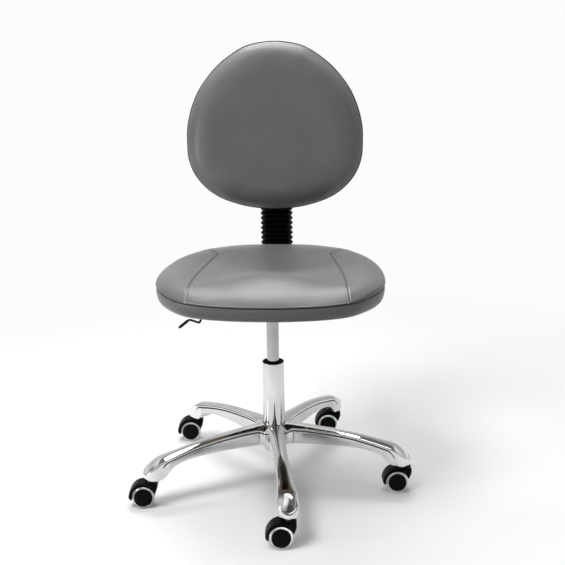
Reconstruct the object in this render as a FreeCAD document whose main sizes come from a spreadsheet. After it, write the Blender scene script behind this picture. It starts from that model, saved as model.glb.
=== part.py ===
import FreeCAD, Part
import math
import os
import re

import Sketcher

# A free-standing dentist stool: a five-arm cast base on twin-wheel casters, a gas-lift column,
# an upholstered seat, and an upholstered backrest on a steel bar inside a bellows sleeve.
# Millimetres. Origin on the floor at the column's axis, the sitter faces -Y, +Z is up.

SIZES = [
    ("arm_count", 5, "arms of the base, and casters"),
    ("first_arm_angle", -81.5, "degrees from +X to the arm nearest the front"),
    ("stem_circle", 303.5, "column axis to each caster stem"),
    ("hub_dia", 56, "hub of the base"),
    ("hub_low", 84, "underside of the hub"),
    ("hub_high", 144, "top of the hub"),
    ("boss_low", 60.5, "underside of the stem boss"),
    ("boss_dia", 20, "stem boss"),
    ("socket_high", 81, "end of the stem socket"),
    ("column_dia", 50, "outer tube"),
    ("column_wall", 1.6, "outer tube wall"),
    ("column_low", 78, "bottom of the outer tube"),
    ("column_high", 294, "top of the outer tube"),
    ("lift_dia", 28, "inner gas-lift tube"),
    ("lift_low", 204, "bottom of the inner tube"),
    ("lift_high", 438, "top of the inner tube"),
    ("rod_dia", 10, "piston rod"),
    ("seat_low", 453, "underside of the upholstered seat"),
    ("board_thick", 12, "seat board"),
    ("seam_height", 497, "welt above the floor, at the column axis"),
    ("seam_tilt", 2.6, "degrees the welt rises to the rear"),
    ("welt_dia", 4.4, "seat welt"),
    ("plate_thick", 4, "pressed steel of the mechanism"),
    ("cheek_half", 38, "half width of the mechanism's channel"),
    ("channel_low", 420, "underside of the mechanism's channel"),
    ("channel_front", -42, "front end of the channel"),
    ("channel_rear", 132, "rear end of the channel"),
    ("pivot_x", -26, "lever pivot"),
    ("pivot_z", 443, "lever pivot"),
    ("lever_dia", 4.8, "lever rod"),
    ("grip_dia", 6.6, "lever grip"),
    ("bar_wide", 50, "back bar"),
    ("bar_thick", 8, "back bar"),
    ("bar_low", 424.3, "underside of the bar's level run"),
    ("bar_front", 40, "front end of the bar"),
    ("bar_rear", 244.5, "rear face of the bar's upright"),
    ("bar_high", 767, "top of the bar"),
    ("bar_bend", 38, "outer radius of the bend"),
    ("bellows_wide", 79, "bellows over its ridges"),
    ("bellows_deep", 38, "bellows over its ridges"),
    ("bellows_fold", 5, "depth of a fold"),
    ("bellows_low", 472, "bottom of the bellows"),
    ("bellows_high", 647, "top of the bellows"),
    ("bellows_folds", 14, "number of folds"),
    ("back_tilt", 6, "degrees the backrest leans back"),
    ("back_y", 200, "backrest centre"),
    ("back_z", 806, "backrest centre"),
    ("back_seam", 6, "join of the cushion and the rear cover, behind the centre"),
    ("back_rear", 27, "rear face of the cover, behind the centre"),
    ("back_board_thick", 10, "board inside the backrest"),
    ("bracket_wide", 70, "bracket housing"),
    ("bracket_rear", 252, "rear face of the bracket"),
    ("bracket_high", 767, "top of the bracket"),
    ("flange_wide", 130, "bracket flange"),
    ("screw_x", 52, "bracket screws from the middle"),
    ("screw_upper", -72, "upper screws below the backrest centre"),
    ("screw_lower", -128, "lower screws below the backrest centre"),
    ("knob_dia", 38, "clamp knobs"),
    ("knob_long", 20, "clamp knobs"),
    ("spindle_dia", 8, "clamp spindles"),
    ("height_knob_z", 707, "height knob above the floor"),
    ("depth_knob_y", 95, "depth knob behind the column"),
    ("caster_turn", 3.5, "degrees every caster is turned from +X"),
    ("caster_trail", 16, "axle behind the stem"),
    ("wheel_dia", 50, "wheel over the tread"),
    ("wheel_gap", 4.6, "inner face of a wheel from the middle"),
    ("disc_dia", 40.8, "wheel disc under the tread"),
    ("axle_dia", 6, "caster axle"),
    ("stem_dia", 11, "caster stem"),
    ("hood_wide", 35, "caster hood across both wheels"),
    ("hood_radius", 34.5, "fender over the wheels"),
    ("hood_high", 58, "top of the hood at the stem"),
    ("hood_web", 8, "web between the wheels"),
]

# Cross sections of one arm: distance from the axis, crown, shoulder and underside heights, and
# widths at the shoulder and at the foot.
ARM = [
    (20, 144, 138, 100, 40, 40),
    (62, 143, 137, 100.5, 36, 37),
    (110, 138.5, 132.5, 101, 31, 33),
    (186, 129, 123, 100.5, 31, 34),
    (245, 118, 110, 92, 37, 40),
    (272, 111, 100, 70.5, 42, 44),
    (298, 98, 87, 63, 43, 45),
    (319, 72, 68, 61.5, 26, 28),
]
# The hollow under one arm: distance from the axis, ceiling, lower limit, width.
HOLLOW = [
    (60, 131, 96, 26),
    (110, 126.5, 96, 22),
    (186, 117, 92, 22),
    (245, 101, 82, 26),
    (262, 91, 62, 28),
]
# Right half of the seat outline, from the front centre to the rear centre.
SEAT_HALF = [
    (0, -219), (78, -214), (140, -201), (184, -180), (216, -145), (239, -106), (249, -65), (247, 0),
    (234, 64), (211, 119), (167, 180), (107, 207), (50, 214.5), (0, 215),
]
# Right half of the backrest outline, from the bottom centre to the top centre.
BACK_HALF = [
    (0, -195), (53, -191), (96, -181), (134, -166), (166, -143), (191, -112), (205, -74), (207.5, -29),
    (205, 6), (194, 48), (174, 90), (139, 134), (98, 167), (58, 187), (0, 195),
]
# Seat cushion sections: height at the column's axis, inset from the outline, rise to the rear.
SEAT_LAYERS = [(453, 20, 0), (460, 12, 0.6), (474, 5, 1.4), (497, 3, 2.6), (510, 8, 2.2), (518, 30, 1.6), (521, 72, 1.0)]
# Backrest sections: position through the thickness, inset from the outline.
CUSHION_LAYERS = [(6, 3), (-6, 0), (-18, 6), (-27, 22), (-32, 55)]
COVER_LAYERS = [(6, 3), (14, 4), (22, 11), (27, 27)]
# Centre line of the lever rod outside the mechanism.
LEVER = [(-29, 0, 443), (-57, -5, 441.6), (-144, -76, 438), (-151.5, -106, 421), (-172.6, -110.7, 430),
         (-195, -112.1, 412)]
SEAT_BOLTS = [(-80, -62), (80, -62), (80, 112), (-80, 112)]
SEAT_BOARD_INSET = 31
BACK_BOARD_INSET = 12

VEC = FreeCAD.Vector
NAMES = [name for name, _, _ in SIZES]
os.makedirs("parts", exist_ok=True)
doc = FreeCAD.newDocument("stool")
sheet = doc.addObject("Spreadsheet::Sheet", "Dims")
parts = []


def fill_sheet():
    for row, (name, amount, note) in enumerate(SIZES, 1):
        sheet.set("A%d" % row, name)
        sheet.set("B%d" % row, str(amount))
        sheet.set("C%d" % row, note)
        sheet.setAlias("B%d" % row, name)
    doc.recompute()


def bound(rule):
    """The rule with every size name pointed at the sheet."""
    rule = str(rule)
    return re.sub(r"[A-Za-z_]\w*", lambda m: "Dims." + m.group(0) if m.group(0) in NAMES else m.group(0), rule)


def size(rule):
    return float(sheet.evalExpression(bound(rule)))


def keep(item, label, placement=None):
    item.Label = label
    if placement is not None:
        item.Placement = placement
    parts.append(item)
    return item


def new_body(label):
    return doc.addObject("PartDesign::Body", label)


def origin_feature(body, role):
    return [f for f in body.Origin.OriginFeatures if f.Role == role][0]


def new_sketch(body, role, offset="0"):
    """A sketch on one of the body's own origin planes, moved along the plane's normal."""
    flat = body.newObject("Sketcher::SketchObject", body.Name + "_sketch")
    flat.AttachmentSupport = [(origin_feature(body, role), "")]
    flat.MapMode = "FlatFace"
    flat.setExpression("AttachmentOffset.Base.z", bound(offset))
    return flat


def end_at(flat, edge, point):
    return 1 if (flat.getPoint(edge, 1) - point).Length < 1e-6 else 2


def fix_point(flat, edge, end, rules):
    """Holds one end of an edge at a position given by two rules."""
    for axis, rule in enumerate(rules):
        amount = size(rule)
        if abs(amount) < 1e-9:
            flat.addConstraint(Sketcher.Constraint("PointOnObject", edge, end, -2 if axis == 0 else -1))
            continue
        kind = "DistanceX" if axis == 0 else "DistanceY"
        held = flat.addConstraint(Sketcher.Constraint(kind, -1, 1, edge, end, amount))
        flat.setExpression("Constraints[%d]" % held, bound(rule))


def outline(flat, corners):
    """A closed outline: each corner is (x, y) or (x, y, bulge), the bulge of the edge after it."""
    rows = [(str(c[0]), str(c[1]), float(c[2]) if len(c) > 2 else 0.0) for c in corners]
    points = [VEC(size(x), size(y), 0) for x, y, _ in rows]
    edges = []
    for i, (_, _, bulge) in enumerate(rows):
        start, stop = points[i], points[(i + 1) % len(rows)]
        if bulge:
            run = stop - start
            side = VEC(-run.y, run.x, 0).normalize()
            edge = Part.Arc(start, (start + stop) * 0.5 + side * bulge, stop)
        else:
            edge = Part.LineSegment(start, stop)
        edges.append(flat.addGeometry(edge, False))
    for i, (x, y, _) in enumerate(rows):
        end = end_at(flat, edges[i], points[i])
        before = end_at(flat, edges[i - 1], points[i])
        flat.addConstraint(Sketcher.Constraint("Coincident", edges[i - 1], before, edges[i], end))
        fix_point(flat, edges[i], end, (x, y))
    for i, (x, y, bulge) in enumerate(rows):
        if bulge:
            far_x, far_y, _ = rows[(i + 1) % len(rows)]
            rise = abs(bulge)
            rule = "((((%s)-(%s))^2+((%s)-(%s))^2)/4+%r^2)/(2*%r)" % (far_x, x, far_y, y, rise, rise)
            held = flat.addConstraint(Sketcher.Constraint("Radius", edges[i], size(rule)))
            flat.setExpression("Constraints[%d]" % held, bound(rule))
    return flat


def circle(flat, diameter, x="0", y="0"):
    edge = flat.addGeometry(Part.Circle(VEC(size(x), size(y), 0), VEC(0, 0, 1), size(diameter) / 2), False)
    fix_point(flat, edge, 3, (x, y))
    held = flat.addConstraint(Sketcher.Constraint("Diameter", edge, size(diameter)))
    flat.setExpression("Constraints[%d]" % held, bound(diameter))
    return flat


def rectangle(flat, left, right, low, high):
    return outline(flat, [(left, low), (right, low), (right, high), (left, high)])


def smooth_loop(half, inset):
    """A closed smooth curve through a half outline and its mirror image, moved inwards."""
    wide = max(x for x, _ in half)
    deep = max(abs(y) for _, y in half)
    points = [VEC(x * (1 - inset / wide), y * (1 - inset / deep), 0) for x, y in half]
    points += [VEC(-p.x, p.y, 0) for p in points[-2::-1]]
    curve = Part.BSplineCurve()
    curve.interpolate(Points=points, InitialTangent=VEC(1, 0, 0), FinalTangent=VEC(1, 0, 0))
    return curve


def smooth_sketch(body, role, offset, half, inset, tilt=0.0):
    """A smooth closed outline on an origin plane, moved along its normal and tipped about its X axis."""
    flat = new_sketch(body, role, offset)
    if tilt:
        flat.AttachmentOffset = at(0, 0, size(offset), VEC(1, 0, 0), tilt)
        flat.setExpression("AttachmentOffset.Base.z", bound(offset))
    flat.addGeometry(smooth_loop(half, inset), False)
    return flat


def pad(body, flat, length, both_ways=False, reverse=False):
    made = body.newObject("PartDesign::Pad", body.Name + "_pad")
    made.Profile = flat
    made.setExpression("Length", bound(length))
    made.SideType = "Symmetric" if both_ways else "One side"
    made.Reversed = reverse
    return made


def pocket(body, flat, length=None, both_ways=False, reverse=False):
    made = body.newObject("PartDesign::Pocket", body.Name + "_pocket")
    made.Profile = flat
    made.SideType = "Symmetric" if both_ways else "One side"
    made.Reversed = reverse
    if length is None:
        made.Type = "ThroughAll"
    else:
        made.setExpression("Length", bound(length))
    return made


def turn(body, corners, cut=False):
    """A full turn about the body's Z axis of an outline given as (radius, height)."""
    flat = outline(new_sketch(body, "XZ_Plane"), corners)
    kind = "PartDesign::Groove" if cut else "PartDesign::Revolution"
    made = body.newObject(kind, body.Name + "_turn")
    made.Profile = flat
    made.ReferenceAxis = (origin_feature(body, "Z_Axis"), [""])
    made.Angle = 360
    return made


def loft(body, sections, cut=False):
    kind = "PartDesign::SubtractiveLoft" if cut else "PartDesign::AdditiveLoft"
    made = body.newObject(kind, body.Name + "_loft")
    made.Profile = sections[0]
    made.Sections = sections[1:]
    return made


def ring(body, features, count, axis="Z_Axis"):
    made = body.newObject("PartDesign::PolarPattern", body.Name + "_ring")
    made.Originals = features
    made.Axis = (origin_feature(body, axis), [""])
    made.Angle = 360
    made.setExpression("Occurrences", bound(count))
    body.Tip = made
    return made


def turned_part(label, corners, placement=None):
    body = new_body(label)
    turn(body, corners)
    return keep(body, label, placement)


def at(x, y, z, axis=VEC(0, 0, 1), degrees=0.0):
    return FreeCAD.Placement(VEC(x, y, z), FreeCAD.Rotation(axis, degrees))


def back_frame():
    """The backrest's own frame: X across, Y through its thickness, Z up its face."""
    return at(0, size("back_y"), size("back_z"), VEC(1, 0, 0), -size("back_tilt"))


def cylinder(diameter, length, placement):
    made = doc.addObject("Part::Cylinder", "rod")
    made.setExpression("Radius", bound("(%s) / 2" % diameter))
    made.setExpression("Height", bound(length))
    made.Placement = placement
    return made


def star_base():
    body = new_body("star_base")
    turn(body, [(0, "hub_low"), ("hub_dia / 2 - 2", "hub_low"), ("hub_dia / 2", "hub_low + 2"),
                ("hub_dia / 2", "hub_high - 3"), ("hub_dia / 2 - 2", "hub_high"), (0, "hub_high")])
    sections = []
    for reach, crown, shoulder, low, top_wide, foot_wide in ARM:
        flat = new_sketch(body, "YZ_Plane", reach)
        outline(flat, [(-foot_wide / 2, low), (foot_wide / 2, low), (top_wide / 2, shoulder, shoulder - crown),
                       (-top_wide / 2, shoulder)])
        sections.append(flat)
    arm = loft(body, sections)
    sections = []
    for reach, high, low, wide in HOLLOW:
        flat = new_sketch(body, "YZ_Plane", reach)
        sections.append(rectangle(flat, -wide / 2, wide / 2, low, high))
    hollow = loft(body, sections, cut=True)
    boss = pad(body, circle(new_sketch(body, "XY_Plane", "boss_low"), "boss_dia", "stem_circle"), 12)
    socket = pocket(body, circle(new_sketch(body, "XY_Plane", "boss_low"), "stem_dia", "stem_circle"),
                    "socket_high - boss_low", reverse=True)
    ring(body, [arm, hollow, boss, socket], "arm_count")
    body.Tip = pocket(body, circle(new_sketch(body, "XY_Plane"), "column_dia"), None, both_ways=True)
    keep(body, "star_base", at(0, 0, 0, VEC(0, 0, 1), size("first_arm_angle")))


def column():
    outer = "column_dia / 2"
    inner = "column_dia / 2 - column_wall"
    turned_part("column_tube", [
        (4.1, "column_low"), (outer, "column_low"), (outer, "column_high"), (inner, "column_high"),
        (inner, "column_low + 3"), (4.1, "column_low + 3")])
    turned_part("guide_bush", [
        ("lift_dia / 2 + 0.06", "column_high - 80"), (inner, "column_high - 80"), (inner, "column_high"),
        ("column_dia / 2 - 0.8", "column_high"), ("column_dia / 2 - 0.8", "column_high + 0.6"),
        ("lift_dia / 2 + 0.06", "column_high + 0.6")])
    turned_part("retaining_clip", [
        (4.06, "column_low - 1.5"), (9, "column_low - 1.5"), (9, "column_low"), (4.06, "column_low")])
    turned_part("thrust_bearing", [
        (4.06, "column_low + 3"), (11, "column_low + 3"), (11, "column_low + 7.5"), (4.06, "column_low + 7.5")])


def lift():
    foot = "column_low + 7.8"
    head = "lift_low + 34"
    shaft = "rod_dia / 2"
    turned_part("piston_rod", [
        (0, "column_low - 6"), (4, "column_low - 6"), (4, foot), (shaft, foot), (shaft, head),
        ("lift_dia / 2 - 1.56", head), ("lift_dia / 2 - 1.56", head + " + 10"), (0, head + " + 10")])
    turned_part("bump_stop", [(shaft, foot), (11, foot), (11, foot + " + 7"), (shaft, foot + " + 7")])
    bore = "lift_dia / 2 - 1.5"
    turned_part("gas_cylinder", [
        (shaft + " + 0.06", "lift_low"), ("lift_dia / 2", "lift_low"), ("lift_dia / 2", "lift_high - 28"),
        ("lift_dia / 2 - 0.8", "lift_high"), (3.96, "lift_high"), (3.96, "lift_high - 30"),
        (bore, "lift_high - 30"), (bore, "lift_low + 8"), (shaft + " + 0.06", "lift_low + 8")])
    turned_part("release_pin", [
        (0, "lift_high - 25"), (3.9, "lift_high - 25"), (3.9, "lift_high + 3"), (0, "lift_high + 3")])


def seat_mechanism():
    body = new_body("seat_mechanism")
    low = "channel_low"
    inside = "cheek_half - plate_thick"
    rise = "seat_low - channel_low"
    flat = new_sketch(body, "XY_Plane", low)
    pad(body, rectangle(flat, "-cheek_half", "cheek_half", "channel_front", "channel_rear"), "plate_thick")
    for left, right in (("-cheek_half", "-(%s)" % inside), (inside, "cheek_half")):
        flat = new_sketch(body, "XY_Plane", low)
        pad(body, rectangle(flat, left, right, "channel_front", "channel_rear"), rise)
    flat = new_sketch(body, "XY_Plane", "seat_low - plate_thick")
    pad(body, rectangle(flat, -105, 105, -85, 135), "plate_thick")
    pad(body, circle(new_sketch(body, "XY_Plane", "channel_low - 10"), 40), 28)
    for front in (60, 112):
        flat = new_sketch(body, "XY_Plane", "bar_low + bar_thick + 0.4")
        pad(body, rectangle(flat, "-(%s)" % inside, inside, front, front + 14), 4)
    for front in (-12, 8):
        flat = new_sketch(body, "XY_Plane", low)
        pad(body, rectangle(flat, "pivot_x - 5", "pivot_x + 5", front, front + 4), 27.5)
    pad(body, circle(new_sketch(body, "XZ_Plane"), 5, "pivot_x", "pivot_z"), 24, both_ways=True)
    turn(body, [(0, "channel_low - 12"), ("lift_dia / 2 + 0.02", "channel_low - 12"),
                ("lift_dia / 2 + 0.02", "channel_low - 10"), ("lift_dia / 2 - 0.78", "lift_high + 0.02"),
                (0, "lift_high + 0.02")], cut=True)
    flat = new_sketch(body, "YZ_Plane", "-cheek_half - 1")
    pocket(body, rectangle(flat, -9, 7, "channel_low + 6", "seat_low - plate_thick"), "plate_thick + 2",
           reverse=True)
    flat = circle(new_sketch(body, "XY_Plane", "channel_low - 1"), "spindle_dia + 0.1", "0", "depth_knob_y")
    pocket(body, flat, "plate_thick + 2", reverse=True)
    flat = new_sketch(body, "XY_Plane", "seat_low - plate_thick - 1")
    for x, y in SEAT_BOLTS:
        circle(flat, 8, x, y)
    pocket(body, flat, "plate_thick + 2", reverse=True)
    keep(body, "seat_mechanism")


def bolt_set(label, spots, heads, shanks, head_size, shank_size, frame):
    """Separate bolts in one node: each is a head and a shank along the frame's own Z axis."""
    bolts = []
    for spot in spots:
        head = cylinder(head_size[0], head_size[1], frame.multiply(at(spot[0], spot[1], heads)))
        shank = cylinder(shank_size[0], shank_size[1], frame.multiply(at(spot[0], spot[1], shanks)))
        bolt = doc.addObject("Part::Fuse", label + "_one")
        bolt.Base = head
        bolt.Tool = shank
        bolts.append(bolt)
    group = doc.addObject("Part::Compound", label)
    group.Links = bolts
    return keep(group, label)


def seat_board():
    body = new_body("seat_board")
    flat = smooth_sketch(body, "XY_Plane", "seat_low", SEAT_HALF, SEAT_BOARD_INSET)
    pad(body, flat, "board_thick")
    flat = new_sketch(body, "XY_Plane", "seat_low")
    for x, y in SEAT_BOLTS:
        circle(flat, 8, x, y)
    pocket(body, flat, "board_thick", reverse=True)
    keep(body, "seat_board")


def seat_cushion():
    body = new_body("seat_cushion")
    loft(body, [smooth_sketch(body, "XY_Plane", height, SEAT_HALF, inset, tilt)
                for height, inset, tilt in SEAT_LAYERS])
    flat = smooth_sketch(body, "XY_Plane", "seat_low", SEAT_HALF, SEAT_BOARD_INSET)
    pocket(body, flat, "board_thick", reverse=True)
    keep(body, "seat_cushion")


def seat_piping():
    """The welt swept round the seat, on a plane that rises to the rear."""
    body = new_body("seat_piping")
    inset = size("welt_dia") / 2
    tilt = size("seam_tilt")
    path = smooth_sketch(body, "XY_Plane", "seam_height", SEAT_HALF, inset, tilt)
    reach = SEAT_HALF[0][1] + inset
    flat = new_sketch(body, "YZ_Plane")
    circle(flat, "welt_dia", reach * math.cos(math.radians(tilt)),
           size("seam_height") + reach * math.sin(math.radians(tilt)))
    made = body.newObject("PartDesign::AdditivePipe", "welt_sweep")
    made.Profile = flat
    made.Spine = path
    made.Mode = "Frenet"
    keep(body, "seat_piping")


def rod_through(points, diameter):
    """Round bar along a bent line, as cylinders with a ball at every bend."""
    pieces = []
    for start, stop in zip(points, points[1:]):
        run = VEC(*stop) - VEC(*start)
        frame = FreeCAD.Placement(VEC(*start), FreeCAD.Rotation(VEC(0, 0, 1), run))
        pieces.append(cylinder(diameter, run.Length, frame))
    for spot in points[1:-1]:
        ball = doc.addObject("Part::Sphere", "bend")
        ball.setExpression("Radius", bound("(%s) / 2" % diameter))
        ball.Placement = at(*spot)
        pieces.append(ball)
    return pieces


def lever():
    pieces = rod_through(LEVER, "lever_dia")
    x, z = size("pivot_x"), size("pivot_z")
    pieces.append(cylinder(11, 12, at(x, 6, z, VEC(1, 0, 0), 90)))
    finger = doc.addObject("Part::Box", "finger")
    finger.Length = 31
    finger.Width = 8
    finger.Height = 4.8
    finger.Placement = at(x, -4, size("lift_high + 3.7"))
    pieces.append(finger)
    solid = doc.addObject("Part::MultiFuse", "lever_blank")
    solid.Shapes = pieces
    eye = cylinder(5.12, 20, at(x, 10, z, VEC(1, 0, 0), 90))
    rod = doc.addObject("Part::Cut", "lever_rod")
    rod.Base = solid
    rod.Tool = eye
    keep(rod, "lever_rod")
    start, stop = VEC(*LEVER[-2]), VEC(*LEVER[-1])
    run = (stop - start).normalize()
    outer = cylinder("grip_dia", (stop - start).Length - 1, FreeCAD.Placement(
        start + run * 4, FreeCAD.Rotation(VEC(0, 0, 1), run)))
    inner = cylinder("lever_dia", (stop - start).Length - 4, FreeCAD.Placement(
        start + run * 4, FreeCAD.Rotation(VEC(0, 0, 1), run)))
    grip = doc.addObject("Part::Cut", "lever_grip")
    grip.Base = outer
    grip.Tool = inner
    keep(grip, "lever_grip")


def back_bar():
    body = new_body("back_bar")
    top = "bar_low + bar_thick"
    front = "bar_rear - bar_thick"
    bend = "bar_rear - bar_bend"
    lift_to = "bar_low + bar_bend"
    outer = size("bar_bend")
    inner = outer - size("bar_thick")
    rise = 1 - math.sqrt(0.5)
    outline(new_sketch(body, "YZ_Plane"), [
        ("bar_front", "bar_low"), (bend, "bar_low", -outer * rise), ("bar_rear", lift_to), ("bar_rear", "bar_high"),
        (front, "bar_high"), (front, lift_to, inner * rise), (bend, top), ("bar_front", top)])
    pad(body, body.Group[-1], "bar_wide", both_ways=True)
    keep(body, "back_bar")


def stadium(wide, deep, height, middle):
    """A level loop of two straights and two half circles."""
    half = (wide - deep) / 2
    radius = deep / 2
    left, right = VEC(-half, middle, height), VEC(half, middle, height)
    up = VEC(0, radius, 0)
    out = VEC(radius, 0, 0)
    return Part.Wire([
        Part.LineSegment(left - up, right - up).toShape(), Part.Arc(right - up, right + out, right + up).toShape(),
        Part.LineSegment(right + up, left + up).toShape(), Part.Arc(left + up, left - out, left - up).toShape()])


def back_bellows():
    wide, deep, fold = size("bellows_wide"), size("bellows_deep"), size("bellows_fold")
    low, high, folds = size("bellows_low"), size("bellows_high"), int(size("bellows_folds"))
    middle = size("bar_rear - bar_thick / 2")
    loops = []
    for step in range(2 * folds + 1):
        cut = 0 if step % 2 else 2 * fold
        loops.append(stadium(wide - cut, deep - cut, low + (high - low) * step / (2 * folds), middle))
    sleeve = Part.makeLoft(loops, True, True)
    cavity = Part.Face(stadium(wide - 4 * fold, deep - 4 * fold, low + 3, middle)).extrude(VEC(0, 0, high - low))
    slot_wide, slot_deep = size("bar_wide"), size("bar_thick")
    slot = Part.makeBox(slot_wide, slot_deep, 10, VEC(-slot_wide / 2, middle - slot_deep / 2, low - 3))
    made = doc.addObject("Part::Feature", "back_bellows")
    made.Shape = sleeve.cut(cavity).cut(slot)
    keep(made, "back_bellows", at(0, 0, 0))


def back_screw_spots():
    return [(x, z) for x in ("-screw_x", "screw_x") for z in ("screw_lower", "screw_upper")]


def back_pads():
    body = new_body("back_cushion")
    loft(body, [smooth_sketch(body, "XZ_Plane", -depth, BACK_HALF, inset) for depth, inset in CUSHION_LAYERS])
    keep(body, "back_cushion", back_frame())

    body = new_body("back_cover")
    loft(body, [smooth_sketch(body, "XZ_Plane", -depth, BACK_HALF, inset) for depth, inset in COVER_LAYERS])
    flat = smooth_sketch(body, "XZ_Plane", "-back_seam", BACK_HALF, BACK_BOARD_INSET)
    pocket(body, flat, "back_board_thick")
    flat = new_sketch(body, "XZ_Plane", "-back_seam")
    for x, z in back_screw_spots():
        circle(flat, 6, x, z)
    pocket(body, flat, 40)
    keep(body, "back_cover", back_frame())

    body = new_body("back_board")
    flat = smooth_sketch(body, "XZ_Plane", "-back_seam", BACK_HALF, BACK_BOARD_INSET)
    pad(body, flat, "back_board_thick", reverse=True)
    flat = new_sketch(body, "XZ_Plane", "-back_seam - 2")
    for x, z in back_screw_spots():
        circle(flat, 6, x, z)
    pocket(body, flat, 40)
    keep(body, "back_board", back_frame())


def back_bracket():
    body = new_body("back_bracket")
    tilt = math.radians(size("back_tilt"))

    def face(z, proud=0.0):
        """Where the tilted rear face of the cover stands at a height."""
        return size("back_y") + (size("back_rear") + proud) / math.cos(tilt) + (z - size("back_z")) * math.tan(tilt)

    low, high = size("bellows_high"), size("bracket_high")
    flat = outline(new_sketch(body, "YZ_Plane"), [
        (face(low), low), ("bracket_rear", low), ("bracket_rear", "bracket_high"), (face(high), "bracket_high")])
    pad(body, flat, "bracket_wide", both_ways=True)
    under, over = low + 12, high - 12
    flat = outline(new_sketch(body, "YZ_Plane"), [
        (face(under), under), (face(under, 4), under), (face(over, 4), over), (face(over), over)])
    pad(body, flat, "flange_wide", both_ways=True)
    flat = new_sketch(body, "XY_Plane")
    rectangle(flat, "-bar_wide / 2 - 0.3", "bar_wide / 2 + 0.3", "bar_rear - bar_thick - 0.3", "bar_rear + 0.3")
    pocket(body, flat, None, both_ways=True)
    flat = circle(new_sketch(body, "XZ_Plane", "-bar_rear"), "spindle_dia + 0.1", "0", "height_knob_z")
    pocket(body, flat, 30)
    flat = new_sketch(body, "XZ_Plane")
    flat.AttachmentOffset = FreeCAD.Placement(VEC(0, size("back_z"), -size("back_y")),
                                              FreeCAD.Rotation(VEC(1, 0, 0), -size("back_tilt")))
    flat.setExpression("AttachmentOffset.Base.z", bound("-back_y"))
    for x, z in back_screw_spots():
        circle(flat, 6, x, z)
    pocket(body, flat, None, both_ways=True)
    keep(body, "back_bracket")

    frame = back_frame().multiply(at(0, 0, 0, VEC(1, 0, 0), -90))
    spots = [(size(x), -size(z)) for x, z in back_screw_spots()]
    bolt_set("bracket_screws", spots, size("back_rear + 4"), size("back_rear - 18"), (11, 4), (6, 22.5), frame)


def knob(label, placement):
    """A fluted clamp knob on a spindle, its face at the origin and the spindle above it."""
    body = new_body(label)
    turn(body, [(0, "-knob_long"), ("knob_dia / 2 - 2", "-knob_long"), ("knob_dia / 2", "-knob_long + 2"),
                ("knob_dia / 2", -4), ("knob_dia / 2 - 3", -2), (9, -2), (9, 0), ("spindle_dia / 2", 0),
                ("spindle_dia / 2", 4.2), (0, 4.2)])
    flat = circle(new_sketch(body, "XY_Plane", "-knob_long - 1"), 9, "knob_dia / 2 + 1.5")
    flute = pocket(body, flat, "knob_long", reverse=True)
    ring(body, [flute], 7)
    return keep(body, label, placement)


def caster(number, frame):
    """One twin-wheel caster. Its frame: the stem's axis is Z, the axle trails along -X."""
    name = "caster_%d_" % number
    body = new_body(name + "hood")
    tip = size("caster_trail") + 34
    flat = outline(new_sketch(body, "XZ_Plane"), [
        (16, "hood_high"), (4, "hood_high", 0.8), ("-caster_trail", "wheel_dia / 2 + hood_radius", -11.5), (-tip, 20),
        (-tip + 8, 18), (-26, 15), (-6, 15), (8, 31), (16, 47)])
    pad(body, flat, "hood_wide", both_ways=True)
    for side, back in ((1, True), (-1, False)):
        flat = circle(new_sketch(body, "XZ_Plane", "%d * hood_web / 2" % side), "wheel_dia + 3.2",
                      "-caster_trail", "wheel_dia / 2")
        pocket(body, flat, "hood_wide", reverse=back)
    pocket(body, circle(new_sketch(body, "XY_Plane", "hood_high"), "stem_dia"), 9)
    pocket(body, circle(new_sketch(body, "XZ_Plane"), "axle_dia", "-caster_trail", "wheel_dia / 2"), 20,
           both_ways=True)
    keep(body, name + "hood", frame)

    turned_part(name + "stem", [
        (0, "hood_high - 9"), ("stem_dia / 2", "hood_high - 9"), ("stem_dia / 2", "hood_high"), (7.5, "hood_high"),
        (7.5, "hood_high + 2"), ("stem_dia / 2 - 0.06", "hood_high + 2"), ("stem_dia / 2 - 0.06", "socket_high - 1"),
        (0, "socket_high - 1")], frame)

    axle_at = at(-size("caster_trail"), 22, size("wheel_dia / 2"), VEC(1, 0, 0), 90)
    keep(cylinder("axle_dia", 44, frame.multiply(axle_at)), name + "axle")
    for side, degrees in (("l", 90), ("r", -90)):
        across = -size("wheel_gap") if side == "l" else size("wheel_gap")
        wheel = frame.multiply(at(-size("caster_trail"), across, size("wheel_dia / 2"), VEC(1, 0, 0), degrees))
        disc, tyre, bore = "disc_dia / 2", "wheel_dia / 2", "axle_dia / 2 + 0.05"
        turned_part(name + "hub_" + side, [
            (bore, 0), (disc, 0), (disc, 16.4), (18.8, 17.6), (9, 18.5), (0, 18.7), (0, 17.4), (bore, 17.4)], wheel)
        turned_part(name + "tread_" + side, [
            (disc, 0.6), (tyre + " - 1.2", 0.6), (tyre, 1.8), (tyre, 7.8), (tyre + " - 1.6", 9.6),
            (disc, 9.6)], wheel)


def casters():
    count = int(size("arm_count"))
    for number in range(count):
        angle = math.radians(size("first_arm_angle") + 360.0 * number / count)
        reach = size("stem_circle")
        frame = at(reach * math.cos(angle), reach * math.sin(angle), 0, VEC(0, 0, 1), size("caster_turn"))
        caster(number + 1, frame)


def check_and_write():
    doc.recompute()
    for item in doc.Objects:
        if "Invalid" in item.State or "Error" in item.State:
            raise RuntimeError("%s does not build: %s" % (item.Label, item.State))
    for item in parts:
        if item.Shape.isNull() or not item.Shape.isValid() or item.Shape.Volume < 1:
            raise RuntimeError("%s has no valid shape" % item.Label)
    for item in parts:
        item.Shape.exportStep("parts/%s.step" % item.Label)


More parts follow.
